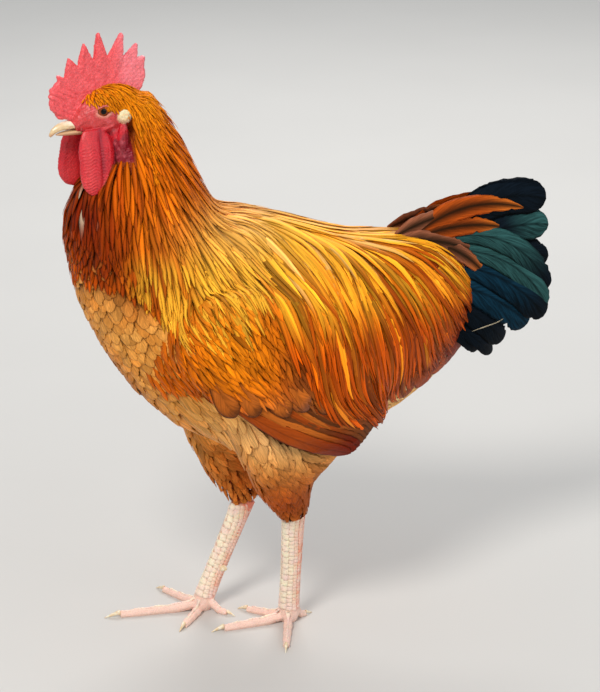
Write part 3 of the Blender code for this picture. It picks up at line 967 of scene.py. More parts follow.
class Lie:
    """The direction in which the coat lies, blended from guides over the body."""

    SOFTNESS = 16 * MM

    def __init__(self) -> None:
        """Set the guides, each at a share of a node's box."""
        guides = [
            ("neck", 0.52, 0.0, 0.97, (0.60, 0.0, -0.80)),
            ("neck", 0.68, 0.0, 0.76, (0.50, 0.0, -0.87)),
            ("neck", 0.90, 0.0, 0.44, (0.55, 0.0, -0.83)),
            ("trunk", 0.36, 0.0, 0.89, (0.85, 0.0, -0.50)),
            ("neck", 0.48, 0.35, 0.84, (0.25, 0.1, -0.97)),
            ("neck", 0.42, 0.75, 0.50, (0.05, 0.0, -1.0)),
            ("neck", 0.48, 1.0, 0.12, (0.08, 0.0, -1.0)),
            ("neck", 0.82, 0.70, 0.40, (0.30, 0.0, -0.95)),
            ("trunk", 0.34, 0.90, 0.77, (0.40, 0.7, -0.70)),
            ("neck", 0.18, 0.0, 0.65, (-0.10, 0.0, -1.0)),
            ("neck", 0.03, 0.0, 0.23, (0.05, 0.0, -1.0)),
            ("trunk", 0.01, 0.0, 0.75, (0.12, 0.0, -1.0)),
            ("trunk", 0.09, 0.0, 0.48, (0.50, 0.0, -0.87)),
            ("trunk", 0.27, 0.0, 0.24, (0.75, 0.0, -0.66)),
            ("trunk", 0.17, 0.70, 0.52, (0.45, 0.0, -0.90)),
            ("trunk", 0.27, 0.85, 0.36, (0.65, 0.0, -0.75)),
            ("trunk", 0.49, 0.0, 0.02, (1.0, 0.0, -0.10)),
            ("trunk", 0.73, 0.0, 0.10, (1.0, 0.0, 0.0)),
            ("trunk", 0.90, 0.0, 0.34, (0.50, 0.0, -0.85)),
            ("trunk", 0.44, 0.0, 0.93, (1.0, 0.0, -0.15)),
            ("trunk", 0.44, 0.50, 0.89, (0.60, 0.8, -0.70)),
            ("trunk", 0.61, 0.0, 0.89, (1.0, 0.0, 0.0)),
            ("trunk", 0.61, 0.60, 0.79, (0.36, 0.8, -0.90)),
            ("trunk", 0.81, 0.0, 0.83, (1.0, 0.0, 0.15)),
            ("trunk", 0.81, 0.50, 0.73, (0.52, 0.3, -0.82)),
            ("wing_left", 0.74, 0.90, 0.58, (0.12, 0.0, -1.0)),
            ("trunk", 0.73, 0.77, 0.44, (0.15, 0.0, -0.98)),
            ("trunk", 0.88, 0.46, 0.60, (0.50, 0.1, -0.85)),
            ("trunk", 0.95, 0.25, 0.63, (0.80, 0.1, -0.55)),
            ("trunk", 0.93, 0.25, 0.48, (0.75, 0.0, -0.60)),
            ("wing_left", 0.22, 0.85, 0.70, (0.35, 1.2, -0.80)),
            ("wing_left", 0.45, 0.97, 0.58, (0.40, 0.8, -0.85)),
            ("wing_left", 0.31, 0.95, 0.36, (0.75, 0.0, -0.66)),
            ("wing_left", 0.83, 0.80, 0.14, (0.80, 0.0, -0.60)),
            ("thigh_left", 0.13, 0.80, 0.88, (0.40, 0.0, -0.90)),
            ("thigh_left", 0.33, 0.90, 0.61, (0.45, 0.0, -0.90)),
            ("thigh_left", 0.74, 0.80, 0.61, (0.88, 0.0, -0.45)),
            ("thigh_left", 0.54, 0.50, 0.20, (0.15, 0.0, -1.0)),
            ("trunk", 0.34, 0.87, 0.28, (0.80, 0.0, -0.60)),
        ]
        self.guides = [Guide(spot(node, *place), lie) for node, *place, lie in guides]

    def flow(self, places: Array, normals: Array) -> Array:
        """Find the direction of the coat along the skin.

        Args:
            places: places on the skin.
            normals: the skin's normals there.

        Returns:
            Unit directions in the skin.
        """
        side = np.where(places[:, 1] < 0, -1.0, 1.0)
        folded = np.c_[places[:, 0], -np.abs(places[:, 1]), places[:, 2]]
        total = np.zeros_like(places)
        for guide in self.guides:
            gap = folded - guide.place
            weight = 1 / (dot(gap, gap) + self.SOFTNESS ** 2) ** 2
            total += weight[:, None] * (np.array(guide.lie) * [1, -1, 1])
        total = unit(total)
        total[:, 1] *= -side
        return unit(total - dot(total, normals)[:, None] * normals)


class Unwrap:
    """A flat layout of the body's skin: length along the bird up the map, the angle round it across."""

    def __init__(self) -> None:
        """Run the middle line from the crown through neck and trunk to the tail."""
        self.line = np.array([
            centre("comb"), centre("head"), centre("neck"), spot("trunk", 0.30, 0, 0.6),
            spot("trunk", 0.60, 0, 0.5), spot("trunk", 0.90, 0, 0.55), spot("tail", 1.0, 0, 0.5)])
        self.line[:, 1] = 0
        spans = np.linalg.norm(np.diff(self.line, axis=0), axis=1)
        self.marks = np.concatenate([[0], np.cumsum(spans)]) / spans.sum()

    def lay(self, points: Array) -> Array:
        """Find where places lie on the flat layout, as shares of its sides.

        Args:
            points: the places.

        Returns:
            Two shares for each place.
        """
        best = np.full(len(points), np.inf)
        place = np.zeros((len(points), 2))
        for k in range(len(self.line) - 1):
            start, run = self.line[k], self.line[k + 1] - self.line[k]
            share = np.clip((points - start) @ run / (run @ run), 0, 1)
            gap = points - (start + share[:, None] * run)
            ahead = run / np.linalg.norm(run)
            over = np.array([-ahead[2], 0, ahead[0]])
            angle = np.arctan2(gap[:, 1], gap @ over)
            along = self.marks[k] + share * (self.marks[k + 1] - self.marks[k])
            size = dot(gap, gap)
            near = size < best
            best[near] = size[near]
            place[near] = np.stack([0.5 + angle / (2 * np.pi), along], -1)[near]
        return 0.01 + 0.975 * place


# ---- Skin ----

@dataclass
class Eye:
    """One eyeball, its lids and the bare ring round it."""

    side: str
    radius: float = 7.6         # millimetres, as all the head's sizes
    opening: tuple[float, float] = (6.2, 4.6)
    lid: float = 1.0
    outward: float = 11.2
    gaze: Colour = (-0.16, 1.0, 0.03)   # mirrored on the left
    rings: int = 39
    sides: int = 64

    @property
    def sign(self) -> float:
        """-1 on the left, 1 on the right."""
        return SIGNS[self.side]

    @property
    def middle(self) -> Array:
        """The ball's centre in head places."""
        return np.array([-HeadFrame.EYE_AHEAD / MM, self.sign * self.outward, HeadFrame.EYE_UP / MM])

    def rim(self, share: float = 1.0, count: int = 40) -> Array:
        """Trace the lids' edge on the ball, as an almond that dips to the beak.

        Args:
            share: how large the loop is.
            count: how many points it has.

        Returns:
            Head places.
        """
        angle = np.linspace(0, 2 * np.pi, count, endpoint=False)
        wide, high = self.opening
        x = share * wide * np.cos(angle)
        z = share * high * np.sin(angle) * np.where(np.sin(angle) > 0, 0.86, 1.0) - 0.10 * x
        depth = np.sqrt(np.maximum(self.radius ** 2 - x ** 2 - z ** 2, 4.0))
        return np.stack([x, self.sign * depth, z], -1) + self.middle

    def lids(self) -> list[Sheet]:
        """Sweep the lids along their edge, and one fold beyond them.

        Returns:
            Two closed rings.
        """
        near = tube(HEAD.world(self.rim(1.08)), np.full(40, self.lid * MM), 10, closed=True)
        fold = self.rim(1.55) - [0, self.sign * 0.4, 0]
        return [near, tube(HEAD.world(fold), np.full(40, 0.8 * MM), 10, closed=True)]

    def across(self, places: Array) -> Array:
        """Return how far places lie from the gaze, as a share of the opening."""
        return np.hypot(*((places - self.middle)[:, [0, 2]] / self.opening).T)

    def make(self, material: Material) -> Piece:
        """Build the ball with its pole along the gaze.

        Args:
            material: its finish.

        Returns:
            The ball.
        """
        tilt = np.linspace(0, np.pi, self.rings + 2)[1:-1]
        turn = np.linspace(0, 2 * np.pi, self.sides, endpoint=False)
        gaze = unit(np.array([self.gaze]) * [1, self.sign, 1])[0]
        first = unit(np.cross(gaze, [0, 0, 1.0])[None])[0]
        around = first * np.cos(turn)[:, None] + np.cross(gaze, first) * np.sin(turn)[:, None]
        ball = gaze * np.cos(tilt)[:, None, None] + around[None] * np.sin(tilt)[:, None, None]
        points = np.concatenate([ball.reshape(-1, 3), gaze[None], -gaze[None]]) * self.radius + self.middle
        quads, caps = (np.roll(faces[:, ::-1], 1, axis=1) for faces in ring_faces(self.rings, self.sides))
        angles = np.concatenate([np.repeat(tilt, self.sides), [0, np.pi]])
        piece = Sheet(HEAD.world(points), quads, caps, {"ring": angles}).make(
            f"eye_{self.side}_ball", material, "eye")
        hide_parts(f"eye_{self.side}")
        return piece


@dataclass
class Wattle:
    """The folds of one wattle: a ridge down its front, a groove and a rounded rear ridge."""

    front: float                # head places in millimetres
    groove: float
    rear: float
    outer: float                # -1 where the outer face looks to the left

    def lift(self, places: Array, normals: Array) -> Array:
        """Find how far the folds raise the skin.

        Args:
            places: head places of the wattle's skin.
            normals: the skin's normals there, in the head's axes.

        Returns:
            Millimetres outwards.
        """
        x, z = places[:, 0], places[:, 2]
        facing = ease(0.0, 0.5, normals[:, 1] * self.outer)
        inside = ease(-16, -24, z)
        across = 0.9 * hill(x, self.front, 2.4) - 1.3 * hill(x, self.groove, 2.6)
        across += 0.9 * hill(x, self.rear, 3.4)
        across *= 1 - 0.6 * ease(-62, -76, z)
        wave = np.sin(2 * np.pi * (z + 0.9 * np.sin(0.55 * x) + 0.12 * (x + 14) ** 2 * 0.2) / 3.1)
        ridges = 0.32 * wave * ease(-26, -36, z)
        return facing * inside * across + (0.35 + 0.65 * facing) * ridges


@dataclass
class Skin:
    """The one skin of the bird: bare at the head and legs, and inside the coat elsewhere."""

    fine: float = 0.72 * MM     # facets of the head
    leg_step: float = 0.95 * MM
    coat_depth: float = 11 * MM
    seam: float = 0.45 * MM
    under_coat: tuple[str, ...] = ("neck", "trunk", "wing_left", "wing_right", "thigh_left", "thigh_right")
    eyes: tuple[Eye, Eye] = (Eye("left"), Eye("right"))
    wattles: tuple[Wattle, Wattle] = (
        Wattle(-23.5, -6.0, 2.5, -1.0), Wattle(-22.0, -10.0, -2.0, 1.0))
    cheek: tuple[Colour, ...] = ((-19, 7, -17.5), (-12, 12, -17), (-2, 15, -17), (8, 15.5, -14), (16, 15, -9))
    cheek_radii: tuple[float, ...] = (0.8, 1.6, 2.0, 1.7, 0.9)
    neck_radii: tuple[float, float] = (9, 24)       # inside the feathers, in millimetres
    thigh_radii: tuple[float, float] = (7, 16)
    whole: Sheet | None = None

    def core(self, form: Sheet) -> Sheet:
        """Draw the coat's form in by the coat's depth, or by less where the body is thin.

        Args:
            form: the form that the coat lies on.

        Returns:
            The skin under the coat.
        """
        normals = point_normals(form)
        tree = BVHTree.FromPolygons(form.points.tolist(), form.triangles.tolist())
        room = np.full(len(form.points), 0.2)
        for k, (place, normal) in enumerate(zip(form.points, normals)):
            start = place - normal * MM
            found = tree.ray_cast(Vector(start), Vector(-normal))
            if found[3] is not None:
                room[k] = found[3]
        x, _, z = HEAD.local(form.points).T
        hollow = ease(27, 20, x) * ease(-56, -47, z)
        edge = np.maximum(hill(x, 31, 7) * (z > -62), hill(z, -54, 7) * (x < 31))
        wanted = self.coat_depth * (1 - 0.7 * edge) + 9 * MM * hollow
        depth = spread(form, np.minimum(wanted, (0.33 + 0.12 * hollow) * room), 6)
        return Sheet(form.points - normals * depth[:, None], triangles=form.triangles)

    def head_parts(self) -> list[Sheet]:
        """Gather the bare head, its lids and folds, and the neck inside the hackle.

        Returns:
            Closed shapes that overlap.
        """
        parts = [node_sheet(name, self.seam) for name in HEAD_PARTS]
        for eye in self.eyes:
            parts += eye.lids()
        parts.append(limb(HEAD.world([6, 0, -2]), centre("neck"), self.neck_radii, 8))
        for sign in SIGNS.values():
            cheek = HEAD.world(np.array(self.cheek) * [1, sign, 1])
            parts.append(tube(cheek, np.array(self.cheek_radii) * MM, 8))
        return parts

    def leg_parts(self) -> list[Sheet]:
        """Gather the shanks and toes, and the leg inside each thigh's feathers.

        Returns:
            Closed shapes that overlap.
        """
        parts = []
        for side in SIDES:
            parts += [node_sheet(name, self.seam) for name in LEGS if name.endswith(side)]
            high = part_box(f"shank_{side}")[1].z
            top = [v.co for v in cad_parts[f"shank_{side}"].data.vertices if v.co.z > high - 4 * MM]
            hock = np.array(sum(top, Vector()) / len(top)) - [0, 0, 6 * MM]
            parts.append(limb(hock, centre(f"thigh_{side}") + [0, 0, 40 * MM], self.thigh_radii, 6))
        return parts

    def sculpt_head(self, head: Sheet) -> Sheet:
        """Press in the folds, wrinkles and grain of the bare head.

        Args:
            head: the blended head.

        Returns:
            The same skin with its points moved.
        """
        places, normals = HEAD.local(head.points), point_normals(head)
        owner = nearest_owner(head.points, HEAD_PARTS + ("neck",))
        face, comb = (owner == 0) | (owner > 5), owner == 1
        wattles, lobes = (owner == 2) | (owner == 3), (owner == 4) | (owner == 5)
        lift = self.comb_lift(places) * comb
        for k, wattle in enumerate(self.wattles):
            mine = owner == 2 + k
            lift[mine] += wattle.lift(places[mine], (normals @ HEAD.turn.T)[mine])
        grain = ((face, 0.22, 3.0, 5), (face, 0.12, 1.7, 6), (comb, 0.26, 3.0, 7), (comb, 0.20, 1.7, 8),
                 (lobes, 0.25, 3.4, 9), (lobes, 0.15, 1.9, 10), (wattles, 0.10, 1.6, 11))
        for mine, height, wavelength, seed in grain:
            lift += mine * height * ripple(places, wavelength, seed)
        for eye in self.eyes:
            flat = eye.across(places)
            near = (places[:, 1] * eye.sign > eye.outward - 4) & (owner == 0)
            lift -= near * 3.2 * ease(0.98, 0.72, flat)
            lift *= np.where(near & (flat < 1.3), 0.4, 1.0) + np.where(near & (flat < 1.0), 0.6, 0.0)
        return Sheet(head.points + normals * spread(head, lift, 1)[:, None] * MM, triangles=head.triangles)

    def comb_lift(self, places: Array) -> Array:
        """Find the comb's own relief: flutes that run up to each spike, and folds at its front.

        Args:
            places: head places.

        Returns:
            Millimetres outwards.
        """
        x, z = places[:, 0], places[:, 2]
        fan = np.arctan2(x - 6, z + 6)
        high = ease(24, 40, z)
        flutes = 0.45 * np.cos(fan * 19 + 0.6) * high
        front = ease(-18, -26, x) * ease(34, 24, z)
        folds = 0.8 * np.sin((x + 1.2 * z) * 0.62 + 1.5 * np.sin(z * 0.35)) * front
        base = hill(z, 22 + 0.1 * x, 5) * 0.5
        return flutes + folds + base

    def tint(self, points: Array, markings: Markings) -> tuple[Array, Array]:
        """Colour the whole skin.

        Args:
            points: the skin's points.
            markings: the pattern shared with the coat.

        Returns:
            A colour for each point, and the kind of skin there: 0 under the coat, 1 bare and
            red, 2 the pale lobes, 3 the legs.
        """
        owner = nearest_owner(points, self.under_coat + RED_PARTS + LOBES + LEGS)
        firsts = np.cumsum([len(names) for names in (self.under_coat, RED_PARTS, LOBES)])
        places = HEAD.local(points)
        throat = (places[:, 0] < 26) & (places[:, 2] > -50)
        owner[throat & (owner < firsts[0])] = firsts[0]
        kind = np.searchsorted(firsts, owner, side="right")
        # painted shade: the coat's colours, darkened so that gaps between the feathers look shadowed
        coat = markings.tint(points, Tone.ORANGE_BROWN.rgb) * 0.8
        red = self.red_tint(places, owner - firsts[0])
        lobe = mixed(Tone.LOBE_CREAM.over(points), Tone.LID_PINK, 0.5 * hill(places[:, 2], -12, 4))
        lobe = mixed(lobe, Tone.BUFF, 0.4 * ease(0.0, 1.2, ripple(places, 5.0, 21)))
        kinds = [(kind == k)[:, None] for k in range(3)]
        colours = np.select(kinds, [coat, red, lobe], self.leg_tint(points))
        return np.stack([spread(self.whole, colours[:, k], 2) for k in range(3)], -1), kind

    def red_tint(self, places: Array, part: Array) -> Array:
        """Colour the bare red skin.

        Args:
            places: head places.
            part: 0 on the face, 1 on the comb, 2 and 3 on the wattles, 4 and 5 on the lappets.

        Returns:
            One colour for each place.
        """
        x, y, z = places.T
        face = mixed(Tone.FACE_RED.over(places), Tone.WATTLE_RED, 0.7 * ease(-10, -22, z))
        # painted shade: deep red under the cheek and at the throat
        face = mixed(face, Tone.PAINTED_SHADE_RED, 0.75 * ease(-18, -26, z))
        face = mixed(face, Tone.COMB_PINK, 0.35 * ease(0.2, 1.4, ripple(places, 6.0, 22)))
        for eye in self.eyes:
            up, out = z - eye.middle[2], (y - eye.middle[1]) * eye.sign
            lid = (out > -4) * hill(eye.across(places), 1.15, 0.28) * (0.35 + 0.65 * ease(1.5, -2.5, up))
            face = mixed(face, Tone.LID_PINK, lid)
        face = mixed(face, Tone.AMBER, ease(1.0, 3.0, z - np.interp(x, *Crown.LINE)))
        comb = mixed(Tone.COMB_RED.over(places), Tone.COMB_PINK, 0.85 * ease(14, 34, x) + 0.25)
        comb = mixed(comb, Tone.WATTLE_RED, 0.35 * ease(0.3, 1.5, ripple(places, 7.0, 23)))
        wattle = Tone.WATTLE_RED.over(places)
        wattle = mixed(wattle, Tone.COMB_RED, 0.45 * hill(x, -21, 5) + 0.3 * hill(z, -66, 10))
        wattle = mixed(wattle, Tone.COMB_PINK, 0.6 * (part > 3) * ease(17, 21, x))
        # painted shade: deep red in the groove of the near wattle
        wattle = mixed(wattle, Tone.PAINTED_SHADE_RED, 0.6 * hill(x, -6.0, 2.4) * ease(-66, -50, z) * (y < 0))
        return np.select([(part == 0)[:, None], (part == 1)[:, None]], [face, comb], wattle)

    def leg_tint(self, points: Array) -> Array:
        """Colour the skin between the scales: dull pink in front, redder behind.

        Args:
            points: the skin's points.

        Returns:
            One colour for each point.
        """
        colours = mixed(Tone.SHANK_CREAM.over(points), Tone.SHANK_PINK, 0.45) * 0.86
        for side in SIDES:
            mine = (points[:, 1] < 0) == (side == "left")
            behind = points[:, 0] - shank_axis(side, points[:, 2], 0.0, 7)[:, 0]
            rear = ease(-1 * MM, 5 * MM, behind) * (points[:, 2] > 14 * MM) * mine
            colours = mixed(colours, Tone.SHANK_PINK, 0.85 * rear)
        return mixed(colours, Tone.TOE_PINK, 0.7 * ease(24 * MM, 12 * MM, points[:, 2]))

    def build(self, form: Sheet, markings: Markings, materials: Sequence[Material]) -> Piece:
        """Make the skin.

        Args:
            form: the form that the coat lies on.
            markings: the pattern shared with the coat.
            materials: finishes for the flesh under the coat, red skin, lobes and legs.

        Returns:
            The skin.
        """
        head = self.sculpt_head(blended(self.head_parts(), self.fine, 1))
        self.whole = united([self.core(form), head, blended(self.leg_parts(), self.leg_step, 1)])
        colours, kind = self.tint(self.whole.points, markings)
        self.whole.values = {"tint": colours}
        piece = self.whole.make("skin", materials[0], "red_skin")
        for material in materials[1:]:
            piece.data.materials.append(material)
        faces = kind[self.whole.triangles].max(axis=1)
        piece.data.polygons.foreach_set("material_index", faces.astype(np.int32))
        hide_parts(*self.under_coat, *HEAD_PARTS, *LEGS)
        return piece


def shank_axis(side: str, heights: Array, from_floor: float, steps: int) -> Array:
    """Find the middle of a shank at some heights.

    Args:
        side: which leg.
        heights: the heights.
        from_floor: how far over the solid's foot the middle line starts.
        steps: how many slices of the solid it runs through.

    Returns:
        The x and y of the middle at each height.
    """
    rows = node_points(f"shank_{side}")
    levels = np.linspace(rows[:, 2].min() + from_floor, rows[:, 2].max(), steps)
    reach = (levels[-1] - levels[0]) / (steps + 1)
    middles = [rows[np.abs(rows[:, 2] - level) < reach].mean(axis=0) for level in levels]
    return np.stack([np.interp(heights, levels, [m[k] for m in middles]) for k in (0, 1)], -1)


def united(sheets: Sequence[Sheet]) -> Sheet:
    """Join closed skins by Boolean union.

    Args:
        sheets: closed skins that overlap.

    Returns:
        The one skin.
    """
    holders = [held(f"union_{k}", sheet) for k, sheet in enumerate(sheets)]
    for other in holders[1:]:
        join = holders[0].modifiers.new("join", "BOOLEAN")
        join.operation = "UNION"
        join.solver = "MANIFOLD"
        join.object = other
    return released(holders)


# ---- Coat ----

class Outline(Enum):
    """How a vane's width runs from its root to its tip."""

    LANCE = "pointed, as on the neck and saddle"
    ROUND = "broad with a round end, as on the breast"
    OAR = "long with a round end, as in the wing and tail"
    PLUME = "soft and open, as on the belly"

    def widths(self, share: Array) -> Array:
        """Return the half width at shares of the length, as a share of the widest.

        Args:
            share: shares of the length.

        Returns:
            Half widths, as a share of the widest.
        """
        if self is Outline.LANCE:
            return np.minimum(1, 0.35 + 2.6 * share) * np.maximum(1 - share ** 3.4, 0) ** 0.8
        if self is Outline.ROUND:
            over = np.clip((share - 0.62) / 0.38, 0, 1)
            return (0.5 + 0.5 * np.minimum(1, share / 0.5)) * np.sqrt(1 - over ** 2)
        if self is Outline.OAR:
            over = np.clip((share - 0.80) / 0.20, 0, 1)
            return (0.42 + 0.58 * ease(0, 0.55, share)) * np.sqrt(1 - over ** 2.4)
        return (0.45 + 0.55 * np.minimum(1, share / 0.4)) * np.maximum(1 - share ** 3, 0) ** 0.6


@dataclass(frozen=True)
class Vane:
    """The mesh of one kind of feather: a thin closed blade with a raised shaft."""

    outline: Outline
    rows: int
    columns: int = 3
    camber: float = 0.10        # height of the shaft over the edges, as a share of the half width
    body: float = 0.18 * MM     # thickness that even the edge keeps
    ridge: float = 0.0          # extra height of the shaft itself
    fray: float = 0.0           # how ragged the edges are, as a share of the half width

    def shares(self) -> Array:
        """Return the shares of the length at which the rows lie, closer together at the tip."""
        return 1 - (1 - np.linspace(0, 1, self.rows)) ** 1.35

    @property
    def size(self) -> int:
        """The number of points in one feather."""
        return (self.rows - 1) * self.columns + 1

    def build(self, spots: Array, sides: Array, normals: Array, half_widths: Array, seeds: Array,
              roots: Array) -> Sheet:
        """Build many feathers at once.

        Args:
            spots: the middle line of each, feather by row by axis.
            sides: unit vectors across each row.
            normals: unit vectors out of each row.
            half_widths: the widest half width of each feather.
            seeds: a number from 0 to 1 for each feather.
            roots: each root's place on the flat layout.

        Returns:
            The feathers, with the values "vane" and the bake patches.
        """
        count, share = len(spots), self.shares()
        across = np.linspace(-1, 1, self.columns)
        width = half_widths[:, None] * self.outline.widths(share)[None]
        over = (across[None, None] * width[..., None] * self.torn(seeds))[..., None] * sides[:, :, None]
        rise = self.camber * width[..., None] * (1 - across ** 2) + self.body * (np.abs(across) < 0.99)
        rise = rise + self.ridge * (np.abs(across) < 0.01) * (1 - share[:, None])
        vane = np.zeros((count, self.rows, self.columns, 3))
        vane[..., 0], vane[..., 1], vane[..., 2] = across, share[:, None], seeds[:, None, None]
        points, flat = (
            np.concatenate([grid[:, :-1].reshape(count, -1, 3), grid[:, -1, self.columns // 2][:, None]], 1)
            for grid in (spots[:, :, None] + over + rise[..., None] * normals[:, :, None], vane))
        patch = roots[:, None] + PATCH * np.stack([0.5 + 0.5 * flat[..., 0], flat[..., 1]], -1)
        starts = np.arange(count)[:, None, None] * self.size
        quads, triangles = ((faces[None] + starts).reshape(-1, faces.shape[1]) for faces in self.faces())
        values = {"vane": flat.reshape(-1, 3)}
        return Sheet(points.reshape(-1, 3), quads, triangles, values, patch.reshape(-1, 2))

    def torn(self, seeds: Array) -> Array:
        """Pull the edges in unevenly, with a few deep splits.

        Args:
            seeds: the number of each feather.

        Returns:
            Shares of the width, feather by row by column.
        """
        count, side = len(seeds), np.arange(self.columns) > self.columns // 2
        rng = np.random.default_rng(int(1e6 * seeds[0]))
        loose = rng.uniform(0, 1, (count, self.rows, 2)) ** 2
        split = (rng.uniform(0, 1, (count, self.rows, 2)) > 0.93) * 1.6
        pull = self.fray * (loose + split) * self.shares()[None, :, None]
        edge = np.linspace(-1, 1, self.columns) ** 4
        return 1 - pull[:, :, side.astype(int)] * edge

    def faces(self) -> tuple[Array, Array]:
        """Number the faces of one feather: its top, its underside, its tip and its root.

        Returns:
            Its quads and its triangles.
        """
        rows, columns = self.rows - 1, self.columns
        row, col = np.meshgrid(np.arange(rows - 1), np.arange(columns - 1), indexing="ij")
        near = (row * columns + col).ravel()
        top = np.stack([near, near + columns, near + columns + 1, near + 1], -1)
        base = np.arange(rows - 1) * columns
        under = np.stack([base, base + columns - 1, base + 2 * columns - 1, base + columns], -1)
        last, tip = (rows - 1) * columns, rows * columns
        crown = [(last + k, tip, last + k + 1) for k in range(columns - 1)]
        crown.append((last, last + columns - 1, tip))
        crown += [(0, k, k + 1) for k in range(1, columns - 1)]
        return np.concatenate([top, under]), np.array(crown)


@dataclass(frozen=True)
class Coat:
    """What every feather needs: the coat's form and lie, the markings, and the layout for the bake."""

    form: Surface
    lie: Lie
    markings: Markings
    unwrap: Unwrap


